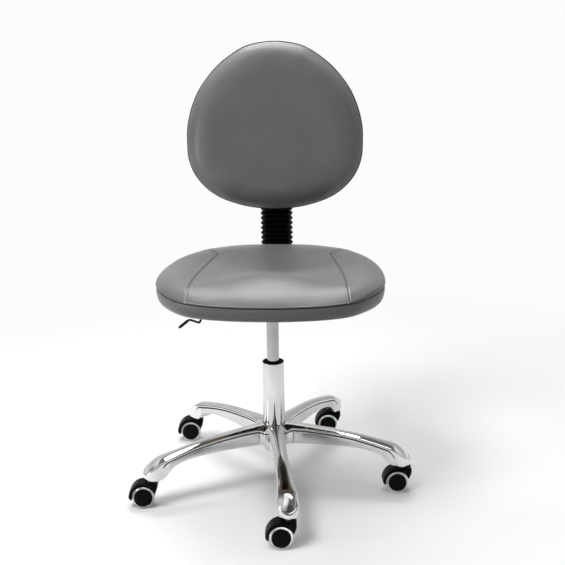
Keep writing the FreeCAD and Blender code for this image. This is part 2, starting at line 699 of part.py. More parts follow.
fill_sheet()
star_base()
column()
lift()
seat_mechanism()
bolt_set("mechanism_bolts", SEAT_BOLTS, size("seat_low - plate_thick - 5.5"), size("seat_low - plate_thick - 1"),
         (13, 5.5), (8, 14), at(0, 0, 0))
seat_board()
seat_cushion()
seat_piping()
lever()
back_bar()
back_bellows()
knob("depth_knob", at(0, size("depth_knob_y"), size("channel_low - 0.4")))
back_pads()
back_bracket()
knob("height_knob", at(0, size("bracket_rear + 0.4"), size("height_knob_z"), VEC(1, 0, 0), 90))
casters()
check_and_write()
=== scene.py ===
import math
import random

import bmesh
import bpy
import numpy as np
from mathutils import Matrix, Vector
from mathutils.bvhtree import BVHTree


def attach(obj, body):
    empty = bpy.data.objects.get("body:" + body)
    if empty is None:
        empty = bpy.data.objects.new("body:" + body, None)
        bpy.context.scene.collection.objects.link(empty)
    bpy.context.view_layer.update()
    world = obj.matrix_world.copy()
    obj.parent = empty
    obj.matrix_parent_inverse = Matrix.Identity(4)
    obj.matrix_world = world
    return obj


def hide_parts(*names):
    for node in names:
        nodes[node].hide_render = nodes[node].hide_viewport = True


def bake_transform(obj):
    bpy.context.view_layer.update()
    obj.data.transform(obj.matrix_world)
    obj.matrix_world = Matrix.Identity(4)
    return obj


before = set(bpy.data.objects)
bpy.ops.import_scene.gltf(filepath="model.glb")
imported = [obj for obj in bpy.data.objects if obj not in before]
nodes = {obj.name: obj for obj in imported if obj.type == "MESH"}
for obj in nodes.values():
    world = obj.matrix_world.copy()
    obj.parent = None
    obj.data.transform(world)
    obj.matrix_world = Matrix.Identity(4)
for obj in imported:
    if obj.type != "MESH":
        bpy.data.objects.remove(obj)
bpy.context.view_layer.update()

# The dentist stool's looks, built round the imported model. Shapes are in millimetres until they
# become meshes; the objects are in metres, in the model's own frame.

MM = 0.001
random.seed(7)


# ---- small helpers

def grey(level, warm=0.0):
    """A neutral sRGB level from 0 to 255 as a linear colour, a little warmer where asked."""
    channel = level / 255
    linear = channel / 12.92 if channel <= 0.04045 else ((channel + 0.055) / 1.055) ** 2.4
    return (linear * (1 + warm), linear, linear * (1 - warm), 1)


def curve(where, table):
    """A smooth curve through (x, value) rows, read at x."""
    xs = np.array([row[0] for row in table], float)
    ys = np.array([row[1] for row in table], float)
    slope = np.gradient(ys, xs)
    x = np.clip(np.asarray(where, float), xs[0], xs[-1])
    i = np.clip(np.searchsorted(xs, x) - 1, 0, len(xs) - 2)
    run = xs[i + 1] - xs[i]
    s = (x - xs[i]) / run
    return ((2 * s ** 3 - 3 * s ** 2 + 1) * ys[i] + (s ** 3 - 2 * s ** 2 + s) * run * slope[i]
            + (3 * s ** 2 - 2 * s ** 3) * ys[i + 1] + (s ** 3 - s ** 2) * run * slope[i + 1])


def ease(low, high, x):
    s = np.clip((np.asarray(x, float) - low) / (high - low), 0, 1)
    return s * s * (3 - 2 * s)


def through(controls, samples):
    """Points along a smooth curve through all the controls but the first and the last."""
    dense = []
    for p0, p1, p2, p3 in zip(controls, controls[1:], controls[2:], controls[3:]):
        for s in np.linspace(0, 1, samples, endpoint=False):
            dense.append(0.5 * (2 * p1 + (p2 - p0) * s + (2 * p0 - 5 * p1 + 4 * p2 - p3) * s * s
                                + (3 * p1 - p0 - 3 * p2 + p3) * s ** 3))
    return dense


def lengths(line):
    """How far along a line each of its points is."""
    return np.concatenate([[0], np.cumsum(np.linalg.norm(np.diff(line, axis=0), axis=1))])


def spots_on(line, along, where):
    """Points of a line at the given lengths along it."""
    return np.stack([np.interp(where, along, column) for column in line.T], 1)


def closed_curve(half, count):
    """Points and outward normals, evenly spaced round a half outline and its mirror image."""
    points = np.array(half + [(-x, y) for x, y in half[-2:0:-1]], float)
    dense = through(np.vstack([points[-1:], points, points[:2]]), 24)
    dense = np.array(dense + [dense[0]])
    along = lengths(dense)
    loop = spots_on(dense, along, np.linspace(0, along[-1], count, endpoint=False))
    return loop, outward(loop)


def outward(loop):
    """Unit normals of a closed anticlockwise loop, pointing out."""
    run = np.roll(loop, -1, 0) - np.roll(loop, 1, 0)
    normal = np.stack([run[:, 1], -run[:, 0]], 1)
    return normal / np.linalg.norm(normal, axis=1)[:, None]


def make(name, points, faces, finishes, smooth_under=38, finish_of=None):
    """A mesh object from points in millimetres. Faces keep their order for finish_of."""
    data = bpy.data.meshes.new(name)
    data.from_pydata([tuple(p) for p in np.asarray(points, float) * MM], [], [tuple(f) for f in faces])
    for finish in finishes:
        data.materials.append(finish)
    if finish_of is not None:
        data.polygons.foreach_set("material_index", np.asarray(finish_of, np.int32))
    work = bmesh.new()
    work.from_mesh(data)
    bmesh.ops.remove_doubles(work, verts=work.verts, dist=1e-6)
    bmesh.ops.recalc_face_normals(work, faces=work.faces)
    work.to_mesh(data)
    work.free()
    data.polygons.foreach_set("use_smooth", np.ones(len(data.polygons), bool))
    if smooth_under < 180:
        data.set_sharp_from_angle(angle=math.radians(smooth_under))
    piece = bpy.data.objects.new(name, data)
    bpy.context.scene.collection.objects.link(piece)
    return piece


def strip(before, here):
    """Faces between two equal closed loops of point numbers."""
    pairs = [(i, (i + 1) % len(here)) for i in range(len(here))]
    return [(before[i], before[j], here[j], here[i]) for i, j in pairs]


def skin(loops, capped=True):
    """Points and faces of a skin over equal closed loops."""
    points = np.concatenate([np.asarray(loop, float) for loop in loops])
    numbers = np.arange(len(points)).reshape(len(loops), -1).tolist()
    faces = [face for before, here in zip(numbers, numbers[1:]) for face in strip(before, here)]
    if capped:
        faces += [tuple(reversed(numbers[0])), tuple(numbers[-1])]
    return points, faces


def joined(shells):
    """Several (points, faces) shells as one."""
    points, faces, start = [], [], 0
    for shell_points, shell_faces in shells:
        points.append(np.asarray(shell_points, float))
        faces += [tuple(i + start for i in face) for face in shell_faces]
        start += len(shell_points)
    return np.concatenate(points), faces


def rounded(before, here, after, size, count):
    """A corner between two points, cut back by a size on both sides and rounded."""
    back, on = before - here, after - here
    start = here + back / np.linalg.norm(back) * size
    stop = here + on / np.linalg.norm(on) * size
    return [start * (1 - s) ** 2 + here * 2 * s * (1 - s) + stop * s * s for s in np.linspace(0, 1, count)]


def eased(corners):
    """A line of (r, z) or (r, z, size) corners, each cut back by its size and rounded."""
    line = []
    spots = [np.array(corner[:2], float) for corner in corners]
    for i, corner in enumerate(corners):
        if len(corner) > 2:
            line += rounded(spots[i - 1], spots[i], spots[(i + 1) % len(spots)], corner[2], 5)
        else:
            line.append(spots[i])
    return line


def lathe(corners, count=72, closed=True, place=None):
    """A turned shape about Z, from corners as in eased(); closed joins the last to the first."""
    line = eased(corners)
    angles = np.linspace(0, 2 * math.pi, count, endpoint=False)
    loops = [np.stack([max(r, 1e-5) * np.cos(angles), max(r, 1e-5) * np.sin(angles),
                       np.full(count, z)], 1) for r, z in line]
    if closed:
        loops.append(loops[0])
    points, faces = skin(loops, False)
    return (points if place is None else moved(points, place)), faces


def moved(points, place):
    """Points through a 4x4 matrix in millimetres."""
    return np.asarray(points, float) @ np.array(place.to_3x3()).T + np.array(place.translation)


def at(x, y, z, turn_axis="Z", degrees=0.0):
    return Matrix.Translation((x, y, z)) @ Matrix.Rotation(math.radians(degrees), 4, turn_axis)


def tube(path, radius, count=14, closed=False):
    """A round bar along a path, with rounded ends unless it is closed."""
    path = np.asarray(path, float)
    radii = np.broadcast_to(radius, len(path))
    run = np.roll(path, -1, 0) - np.roll(path, 1, 0) if closed else np.gradient(path, axis=0)
    run /= np.linalg.norm(run, axis=1)[:, None]
    side = np.cross(run[0], (0, 0, 1) if abs(run[0][2]) < 0.9 else (1, 0, 0))
    angles = np.linspace(0, 2 * math.pi, count, endpoint=False)
    loops = []
    for spot, way, size in zip(path, run, radii):
        side = side - way * (side @ way)
        side /= np.linalg.norm(side)
        other = np.cross(way, side)
        loops.append(spot + size * (np.cos(angles)[:, None] * side + np.sin(angles)[:, None] * other))
    if closed:
        return skin(loops + [loops[0]], False)

    def end(k, way):
        return [path[k] + (loops[k] - path[k]) * math.cos(a) + way * radii[k] * math.sin(a) * 0.8
                for a in (0.5, 1.0, 1.35)]

    return skin(end(0, -run[0])[::-1] + loops + end(-1, run[-1]))


def bent(points, radius, steps=6):
    """A line whose corners are rounded to a bend radius."""
    points = [np.array(p, float) for p in points]
    line = [points[0]]
    for before, here, after in zip(points, points[1:], points[2:]):
        size = min(radius, 0.45 * np.linalg.norm(before - here), 0.45 * np.linalg.norm(after - here))
        line += rounded(before, here, after, size, steps)
    return np.array(line + [points[-1]])


def bevel(item, width, angle):
    """Rounds the edges sharper than an angle."""
    rounder = item.modifiers.new("soft_edges", "BEVEL")
    rounder.width = width * MM
    rounder.segments = 2
    rounder.limit_method = "ANGLE"
    rounder.angle_limit = math.radians(angle)
    return rounder


def settle(piece, body, replaced):
    """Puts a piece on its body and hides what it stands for."""
    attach(piece, body)
    if replaced:
        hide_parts(*replaced)


# ---- finishes

def finish(name, colour, roughness, metallic=0.0, **sockets):
    made = bpy.data.materials.new(name)
    made.use_nodes = True
    shader = made.node_tree.nodes["Principled BSDF"]
    shader.inputs["Base Color"].default_value = colour
    shader.inputs["Roughness"].default_value = roughness
    shader.inputs["Metallic"].default_value = metallic
    for socket, amount in sockets.items():
        shader.inputs[socket.replace("_", " ")].default_value = amount
    return made


def node(made, kind, inputs=None, **props):
    """Adds a shader node; an input is a number, a colour or another node's socket."""
    added = made.node_tree.nodes.new("ShaderNode" + kind)
    for prop, amount in props.items():
        setattr(added, prop, amount)
    for socket, amount in (inputs or {}).items():
        if isinstance(amount, bpy.types.NodeSocket):
            made.node_tree.links.new(amount, added.inputs[socket])
        else:
            added.inputs[socket].default_value = amount
    return added


def place_on(made, stretch=(1, 1, 1)):
    """Object coordinates, stretched along the axes."""
    where = node(made, "TexCoord").outputs["Object"]
    if tuple(stretch) == (1, 1, 1):
        return where
    return node(made, "Mapping", {"Vector": where, "Scale": stretch}).outputs[0]


def noise(made, where, scale, detail=3.0, rough=0.5):
    return node(made, "TexNoise",
                {"Vector": where, "Scale": scale, "Detail": detail, "Roughness": rough}).outputs["Fac"]


def spread(made, amount, low, high, from_low=0.3, from_high=0.7):
    """Maps a value from one range to another."""
    return node(made, "MapRange", {"Value": amount, "From Min": from_low, "From Max": from_high,
                                   "To Min": low, "To Max": high}).outputs["Result"]


def ramp(made, amount, stops):
    """A colour read by a value from (position, colour) stops."""
    added = node(made, "ValToRGB", {"Fac": amount})
    marks = added.color_ramp.elements
    marks[0].position, marks[1].position = stops[0][0], stops[-1][0]
    for where, _ in stops[1:-1]:
        marks.new(where)
    for mark, (_, colour) in zip(marks, stops):
        mark.color = colour
    return added.outputs["Color"]


def shades(made, amount, low, high):
    """A colour between two, by a noise."""
    return ramp(made, amount, [(0.3, low), (0.7, high)])


def mixed(made, share, first, second, blend="MIX"):
    """Two colours mixed, or multiplied, by a share."""
    return node(made, "Mix", {0: share, 6: first, 7: second}, data_type="RGBA",
                blend_type=blend).outputs[2]


def bump(made, height, strength, depth, under=None):
    inputs = {"Height": height, "Strength": strength, "Distance": depth}
    if under is not None:
        inputs["Normal"] = under
    return node(made, "Bump", inputs).outputs["Normal"]


def wire(made, **sockets):
    shader = made.node_tree.nodes["Principled BSDF"]
    for socket, source in sockets.items():
        made.node_tree.links.new(source, shader.inputs[socket.replace("_", " ")])
    return made


def polished(name, level, low, high, stretch, wave=0.00012):
    """Bright metal: slow waves from polishing, faint rubbing marks and smudges."""
    made = finish(name, grey(level), low, 1.0)
    where = place_on(made)
    smudge = noise(made, where, 14, 5, 0.6)
    rub = noise(made, place_on(made, stretch), 60, 3)
    wear = node(made, "Math", {0: smudge, 1: rub}, operation="MULTIPLY").outputs[0]
    ripple = bump(made, noise(made, where, 22, 1), 0.25, wave)
    return wire(made, Roughness=spread(made, wear, low, high, 0.12, 0.5),
                Base_Color=shades(made, smudge, grey(level - 10, 0.004), grey(level + 4)),
                Normal=bump(made, rub, 0.03, 0.00002, ripple))


def brushed(name, level, low, high, stretch=(1, 1, 1)):
    """Duller metal with a directional grain."""
    made = finish(name, grey(level), low, 1.0)
    grain = noise(made, place_on(made, stretch), 520, 3, 0.5)
    patch = noise(made, place_on(made), 18, 4)
    return wire(made, Roughness=spread(made, grain, low, high),
                Base_Color=shades(made, patch, grey(level - 8, 0.004), grey(level + 5)),
                Normal=bump(made, grain, 0.05, 0.00004))


def coated(name, level, low, high, grain_scale, depth, strength=0.25, **sockets):
    """Moulded plastic, rubber or powder coat: a fine pebble, with worn and dusty patches."""
    made = finish(name, grey(level), low, 0.0, **sockets)
    where = place_on(made)
    pebble = node(made, "TexVoronoi", {"Vector": where, "Scale": grain_scale}).outputs["Distance"]
    patch = noise(made, where, 26, 5, 0.6)
    fine = noise(made, where, grain_scale * 1.7, 2)
    return wire(made, Roughness=spread(made, patch, low, high),
                Base_Color=shades(made, patch, grey(max(level - 5, 1)), grey(level + 7, 0.01)),
                Normal=bump(made, fine, strength * 0.5, depth * 0.5, bump(made, pebble, strength, depth)))


def upholstery(name, level):
    """Grained vinyl: irregular pebbles between fine creases, slow tone changes and painted shade in its
    seams.
    """
    made = finish(name, grey(level, 0.012), 0.45, 0.0, Sheen_Weight=0.08, Sheen_Roughness=0.4,
                  Specular_IOR_Level=0.62)
    where = place_on(made)
    warp = node(made, "TexNoise", {"Vector": where, "Scale": 130.0, "Detail": 2.0}).outputs["Color"]
    warped = node(made, "Mix", {0: 0.006, 4: where, 5: warp}, data_type="VECTOR").outputs[1]
    cell = node(made, "TexVoronoi", {"Vector": warped, "Scale": 430.0, "Randomness": 0.95},
                feature="DISTANCE_TO_EDGE").outputs["Distance"]
    pebble = spread(made, cell, 0.0, 1.0, 0.0, 0.28)
    fine = noise(made, where, 1500, 3)
    slow = noise(made, where, 9, 3)
    mottle = noise(made, where, 240, 3, 0.6)
    # Painted seam shade: a stored amount per point darkens the colour towards grey 30 in the seams.
    painted_seam_shade = node(made, "Attribute", attribute_name="painted_seam_shade").outputs["Fac"]
    tone = shades(made, slow, grey(level - 5, 0.014), grey(level + 5, 0.010))
    speckle = mixed(made, spread(made, mottle, 0.0, 0.22), tone, grey(level - 26, 0.012))
    shaded_colour = mixed(made, painted_seam_shade, speckle, grey(30))
    under = bump(made, slow, 0.08, 0.001)
    grain = bump(made, pebble, 0.30, 0.00022, under)
    return wire(made, Base_Color=shaded_colour, Roughness=spread(made, mottle, 0.34, 0.46),
                Normal=bump(made, fine, 0.12, 0.00008, grain))


def timber(name):
    """Beech plywood: long grain on the faces and thin plies on the edges."""
    made = finish(name, grey(150, 0.2), 0.6)
    grain = noise(made, place_on(made, (40, 3, 40)), 9, 6, 0.6)
    plies = node(made, "TexWave", {"Vector": place_on(made), "Scale": 190.0, "Distortion": 0.6,
                                   "Detail": 2.0}, bands_direction="Z").outputs["Fac"]
    colour = mixed(made, spread(made, plies, 0.0, 0.35, 0.2, 0.8),
                   shades(made, grain, (0.27, 0.20, 0.135, 1), (0.40, 0.30, 0.20, 1)), (0.16, 0.11, 0.07, 1))
    return wire(made, Base_Color=colour, Roughness=spread(made, grain, 0.5, 0.72),
                Normal=bump(made, grain, 0.2, 0.0003))


MIRROR = polished("mirror_aluminium", 232, 0.03, 0.09, (3, 3, 3), 0.00006)
SATIN = brushed("satin_cast_aluminium", 214, 0.14, 0.24)
# Painted shade: dark rough metal for the star's groove and column hole, standing in for the shade there.
GROOVE_SHADE = brushed("groove_painted_shade", 70, 0.35, 0.55)
TUBE = polished("bright_chrome_tube", 214, 0.03, 0.08, (8, 8, 0.6), 0.00002)
PISTON_TUBE = brushed("drawn_steel_tube", 170, 0.07, 0.15, (1, 1, 0.03))
ZINC = brushed("zinc_plate", 186, 0.25, 0.45)
POWDER = coated("black_powder_coat", 12, 0.34, 0.55, 900, 0.0002, Specular_IOR_Level=0.2)
PLASTIC = coated("black_moulding", 10, 0.30, 0.48, 1300, 0.00012, Specular_IOR_Level=0.2)
RUBBER = coated("black_rubber_bush", 6, 0.5, 0.7, 700, 0.0001, Specular_IOR_Level=0.12)
BOOT = coated("bellows_rubber_gloss", 2, 0.20, 0.34, 600, 0.00005, 0.12, Specular_IOR_Level=0.12)
NYLON = coated("caster_nylon_black", 6, 0.28, 0.42, 1500, 0.00008, 0.16, Specular_IOR_Level=0.06)
TREAD = coated("pale_tread_rubber", 240, 0.5, 0.7, 500, 0.0001, 0.2)
VINYL = upholstery("grey_vinyl", 111)
# Painted shade: dark grey for the rim cords, which are real piping, and for thin lines laid in the insert
# seams, which stand for their shade.
SEAM_SHADE_CORD = coated("seam_cord_painted_shade", 34, 0.45, 0.6, 900, 0.0001)
THREAD = coated("pale_thread", 206, 0.55, 0.7, 2400, 0.0001)
PLY = timber("beech_plywood")


# ---- base

ARM_COUNT = 5
ARM_STEP = 360 / ARM_COUNT
FIRST_ARM = -81.5
# Along an arm, by distance from the column: the heights of its top, of its walls' lower edge and of the
# ceiling between them, and its half width.
CROWN = [(0, 144.2), (45, 143.8), (62, 143), (106, 139), (150, 134.8), (186, 130), (225, 122.8), (260, 115),
         (280, 109.5), (291, 104), (301, 96.5), (309, 88), (315, 79), (319, 72)]
LOW = [(30, 100), (106, 101), (173, 101), (213, 98), (243, 91.8), (256, 85.5), (264, 77), (270, 70),
       (276, 65), (283, 62.2), (319, 61.6)]
CEILING = [(20, 133), (60, 131), (110, 126), (186, 117), (225, 108), (245, 98.5), (256, 88.5), (264, 79),
           (270, 71.3), (276, 66), (283, 63), (319, 62.3)]
WIDTH = [(52, 18.6), (64, 17.8), (85, 16.4), (110, 15.6), (150, 15.3), (186, 15.7), (220, 17.0), (245, 18.6),
         (272, 21.2), (290, 22.2), (300, 22.2)]
NOSE_FROM = 297
NOSE_END = 319
STEM_CIRCLE = 303.5
EDGE = 4.0
FILLET, FILLET_X, FILLET_Y = 19.3, 52.0, 37.8
HUB, HOLE = 45, 26.2
HUB_TOP, MELT = 142, 3.5
COLUMNS = 13
LATERAL = np.linspace(-1, 1, COLUMNS)
HALF_STEP = math.radians(ARM_STEP / 2)
# Finish slots of the star: mirror top, painted shade in the groove and hole, satin walls.
BRIGHT, PAINTED_SHADE, DULL = 0, 1, 2


def turned(points, k):
    """Points of the first arm's frame on arm k."""
    a = math.radians(FIRST_ARM + ARM_STEP * k)
    c, s = math.cos(a), math.sin(a)
    x, y, z = points.T
    return np.column_stack([x * c - y * s, x * s + y * c, z])


def stem_foot(k, degrees=0.0):
    """The place on the floor under the stem of arm k."""
    a = math.radians(FIRST_ARM + ARM_STEP * k)
    return at(STEM_CIRCLE * math.cos(a), STEM_CIRCLE * math.sin(a), 0, "Z", degrees)


def arm_top(x, y):
    """Height of the star's top for points in the first arm's frame, all arms melted together."""
    total = np.zeros_like(x)
    for k in range(ARM_COUNT):
        a = math.radians(ARM_STEP * k)
        along = x * math.cos(a) + y * math.sin(a)
        across = -x * math.sin(a) + y * math.cos(a)
        away = np.where(along > 0, np.abs(across), np.hypot(x, y))
        drop = 0.0098 * (1 - 0.35 * ease(240, 280, along))
        height = curve(np.maximum(along, 0), CROWN) - drop * away ** 2.2
        total += np.exp((height - HUB_TOP) / MELT)
    return HUB_TOP + MELT * np.log(total)


def half_width(x):
    """Half width of the flat top, inside its rounded edge."""
    fillet = FILLET_Y - np.sqrt(np.maximum((FILLET + EDGE) ** 2 - (x - FILLET_X) ** 2, 0))
    return np.where(x < FILLET_X, fillet, curve(x, WIDTH) - EDGE)


def arm_rows(shrink=0.0):
    """Rows of (x, y) over one arm: the hub's arcs, the arm and the round nose."""
    corner = HUB - EDGE - shrink
    first = corner * math.cos(HALF_STEP)
    stations = np.concatenate([[33.17, 34.6, 37, 40.5, 45, 49.5], np.arange(54, 250, 8.5),
                               np.arange(251, NOSE_FROM - 2, 5.5), [NOSE_FROM]])
    arc = HOLE * np.stack([np.cos(LATERAL * HALF_STEP), np.sin(LATERAL * HALF_STEP)], 1)
    line = first * np.stack([np.ones(COLUMNS), LATERAL * math.tan(HALF_STEP)], 1)
    rows = [arc * (1 - s) + line * s for s in (0, 0.35, 0.7)]
    for x in stations:
        wide = half_width(x) - shrink * (1.0 if x > 60 else 0.9)
        shift = -shrink * math.cos(HALF_STEP) * (1 - ease(33, 54, x))
        if x < 34:
            wide = corner * math.sin(HALF_STEP)
        rows.append(np.stack([np.full(COLUMNS, x + shift), LATERAL * wide], 1))
    reach = NOSE_END - NOSE_FROM - EDGE - shrink
    wide = half_width(NOSE_FROM) - shrink
    for u in (0.25, 0.5, 0.75, 1.0):
        rows.append(np.stack([NOSE_FROM + reach * u * np.sqrt(1 - LATERAL ** 2 / 2),
                              wide * LATERAL * math.sqrt(1 - u * u / 2)], 1))
    return rows


def wall_lines(high, low, roof):
    """The wall's section as (distance out, height) rows: along the arm, and rolled under at its end."""
    root = np.minimum(low + 8, high - 5.2)
    wall_top, wall_low = high - 10.5, low + 2.5
    plain = [(-2.0, high - 0.54), (-0.54, high - 2.0), (0, high - 4), (-0.4, high - 5.4), (-1.4, high - 6.1),
             (-3.4, high - 6.4), (-3.7, high - 8.4), (-2.3, high - 9.2), (-2.0, wall_top),
             (-1.8, (wall_top + wall_low) / 2), (-1.6, wall_low), (-2.3, low + 0.5), (-3.6, low),
             (-5.0, low + 0.4), (-5.8, low + 2), (-6.6, np.maximum(roof - 2.5, low + 2.2))]
    rolled = [(-2.0, high - 0.54), (-0.54, high - 2.0), (0, high - 4)]
    rolled += [(0.1 * n, (high - 4) * (1 - 0.2 * n) + root * 0.2 * n) for n in (1, 2, 3, 4)]
    rolled += [(0.2, root), (-0.6, root - (root - low) * 0.38), (-2.3, root - (root - low) * 0.7),
               (-4.8, root - (root - low) * 0.92), (-7.6, low), (-9.5, low + 0.1), (-11, low + 0.2),
               (-12.5, low + 0.3), (-14, low + 0.4)]
    return plain, rolled


def star():
    rows = arm_rows()
    last_row = len(rows) - 1
    flat = np.concatenate(rows)
    nose = ease(258, 286, flat[:, :1])
    # The ceiling keeps the rows of the top, pulled in from the edge.
    ceiling = np.concatenate(arm_rows(5.0)) * (1 - nose) + np.concatenate(arm_rows(11.5)) * nose
    top = np.column_stack([flat, arm_top(flat[:, 0], flat[:, 1])])
    under = np.column_stack([ceiling, curve(flat[:, 0], CEILING)])
    everything = np.concatenate([turned(layer, k) for layer in (top, under) for k in range(ARM_COUNT)])
    size = len(flat)
    faces, kinds = [], []

    def add(more, kind):
        faces.extend(more)
        kinds.extend([kind] * len(more))

    for block in range(2 * ARM_COUNT):
        corners = [block * size + r * COLUMNS + c for r in range(last_row) for c in range(COLUMNS - 1)]
        quads = [(i, i + 1, i + 1 + COLUMNS, i + COLUMNS) for i in corners]
        add(quads, BRIGHT if block < ARM_COUNT else DULL)

    first_row, end = 3, COLUMNS - 1
    rim = [(r, 0) for r in range(first_row, last_row)] + [(last_row, c) for c in range(COLUMNS)]
    rim += [(r, end) for r in range(last_row - 1, first_row, -1)]
    order = [k * size + r * COLUMNS + c for k in range(ARM_COUNT) for r, c in rim]
    loop = everything[order]
    normal = outward(loop[:, :2])
    local = np.tile(np.array([flat[r * COLUMNS + c, 0] for r, c in rim]), ARM_COUNT)
    bulb = ease(268, 294, local)
    plain, rolled = wall_lines(loop[:, 2], curve(local, LOW), curve(local, CEILING))
    start, count = len(everything), len(order)
    blocks, before = [everything], order
    for step, ((off_a, z_a), (off_b, z_b)) in enumerate(zip(plain, rolled)):
        off = (off_a * (1 - bulb) + off_b * bulb) + EDGE
        blocks.append(np.column_stack([loop[:, :2] + normal * off[:, None], z_a * (1 - bulb) + z_b * bulb]))
        here = list(range(start, start + count))
        faces += strip(before, here)
        # A groove runs below the top's edge and thins out at the nose; its faces get painted shade.
        groove_shade_mask = (local < 268) & (4 <= step <= 7) | (local < 284) & (step == 6)
        kinds += np.where(groove_shade_mask, PAINTED_SHADE, np.where((local > 262) | (step < 5), BRIGHT, DULL)).tolist()
        before, start = here, start + count
    add(strip(before, [i + ARM_COUNT * size for i in order]), DULL)
    # The hole for the column, from the top down to the ceiling, with painted shade on its faces.
    ring = [k * size + c for k in range(ARM_COUNT) for c in range(COLUMNS - 1)]
    rounds, before = everything[ring], ring
    for inward, z in [(-0.5, -0.7), (-0.9, -2.2), (-0.9, -9.0)]:
        blocks.append(np.column_stack([rounds[:, :2] * ((HOLE + inward) / HOLE), rounds[:, 2] + z]))
        here = list(range(start, start + len(ring)))
        add(strip(before, here), PAINTED_SHADE)
        before, start = here, start + len(ring)
    add(strip(before, [i + ARM_COUNT * size for i in ring]), DULL)
    piece = make("base_star", np.concatenate(blocks), faces, [MIRROR, GROOVE_SHADE, SATIN], 180, kinds)
    rounder = piece.modifiers.new("round", "SUBSURF")
    rounder.levels = rounder.render_levels = 1
    settle(piece, "base", ["star_base"])

    shells = [lathe([(25.15, 84, 1), (28, 84, 1.5), (28.4, 135), (25.15, 135)], 60)]
    for k in range(ARM_COUNT):
        socket = [(5.7, 61.3, 0.2), (9.8, 61.3, 0.5), (9.8, 66), (5.7, 66)]
        shells.append(lathe(socket, 36, place=stem_foot(k)))
    settle(make("base_sockets", *joined(shells), [SATIN]), "base", ())


def column():
    outer = lathe([(4.1, 78), (25, 78, 1.5), (25, 294, 0.7), (23.5, 294, 0.4), (23.5, 284), (23.5, 81),
                   (4.1, 81)], 96)
    settle(make("column_outer", *outer, [TUBE]), "base", ["column_tube"])
    bush = lathe([(14.1, 217), (23.3, 217), (23.3, 294), (24.2, 294.05), (24.2, 294.6, 0.3),
                  (23.3, 294.6, 0.4), (21.6, 292.4, 1), (16.4, 291.0, 1), (14.15, 291.8, 0.5)], 96)
    settle(make("column_bush", *bush, [RUBBER]), "base", ["guide_bush"])


# ---- casters

CASTER_TURN = 3.5
AXLE = np.array([-16.0, 25.0])
HOOD_HALF, MOUTH_HALF = 17.5, 16.7
HOOD = [(11, 33.5), (12.6, 38), (14.5, 42.6), (16, 47), (16.4, 52), (16, 56.4), (13.6, 57.9), (9, 58.1),
        (4, 58), (-1, 57.6), (-6, 57.6), (-11, 58.2), (-16, 58.8), (-24, 58.0), (-31.5, 54.8), (-38, 49.8),
        (-43.5, 43), (-47.5, 35), (-49.2, 27), (-47.6, 21.5), (-44.6, 18.3)]
DISC = [(3.05, 0), (20.4, 0), (20.4, 16.8, 2.4), (17.6, 17.7, 1.2), (11, 18.3, 0.8), (10.4, 18.0, 0.3),
        (9.6, 18.4, 0.3), (4, 18.6, 1), (0, 18.6), (0, 17.3), (3.05, 17.3)]
TYRE = [(20.45, 0.7), (25, 0.7, 1.4), (25, 9.6, 1.9), (22.6, 10.0, 0.5), (20.45, 10.0)]
# Each wheel part: its name, outline, finish, sharp angle, node and slot.
WHEEL_PARTS = [("_disc", DISC, NYLON, 30, "_hub", "caster_nylon"),
               ("_tyre", TYRE, TREAD, 40, "_tread", "pale_tread")]


def hood_section(outer, half):
    """A section of the fender, from over the wheels out to its skin, with its outer corners round."""
    way = (outer - AXLE) / np.linalg.norm(outer - AXLE)
    inner = AXLE + way * 26.1
    deep = np.linalg.norm(outer - inner)
    size = min(3.2, deep * 0.45)
    left = [(-half, 0.0), (-half, deep - size)]
    for s in (0.3, 0.6, 0.85):
        a = s * math.pi / 2
        left.append((-half + size * (1 - math.cos(a)), deep - size + size * math.sin(a)))
    left += [(-half + size, deep), (-half / 2, deep + 0.3)]
    section = left + [(0, deep + 0.4)] + [(-y, r) for y, r in reversed(left)]
    return [(inner[0] + way[0] * r, y, inner[1] + way[1] * r) for y, r in section]


def caster(number):
    foot = stem_foot(number - 1, CASTER_TURN)
    body = "caster_%d" % number
    line = [np.array(spot, float) for spot in HOOD]
    mouth = [AXLE + (spot - AXLE) * 0.97 for spot in (line[0], line[-1])]
    loops = [hood_section(spot, HOOD_HALF) for spot in line[1:-1]]
    shell = skin([hood_section(mouth[0], MOUTH_HALF)] + loops + [hood_section(mouth[1], MOUTH_HALF)])
    arc = [AXLE + 27.2 * np.array([math.cos(t), math.sin(t)]) for t in np.radians(np.linspace(14, 196, 40))]
    web = skin([[(x, y, z) for x, z in arc] for y in (-4.0, 4.0)])
    boss = lathe([(0, 0), (10.5, 0), (10.5, 12.5, 1.5), (0, 12.5)], 40, False,
                 at(AXLE[0], 0, AXLE[1], "X", 90) @ at(0, 0, -6.2))
    points, faces = joined([shell, web, boss])
    hood = make(body + "_shell", moved(points, foot), faces, [NYLON], 32)
    bevel(hood, 0.8, 40)
    settle(hood, body, [body + "_hood"])
    for side, degrees, across in (("_l", 90, -4.6), ("_r", -90, 4.6)):
        wheel = foot @ at(AXLE[0], across, AXLE[1], "X", degrees)
        for name, line, look, sharp, stood_for, slot in WHEEL_PARTS:
            part = make(body + name + side, *lathe(line, 72, True, wheel), [look], sharp)
            settle(part, body + "_wheel" + side, [body + stood_for + side])


# ---- seat

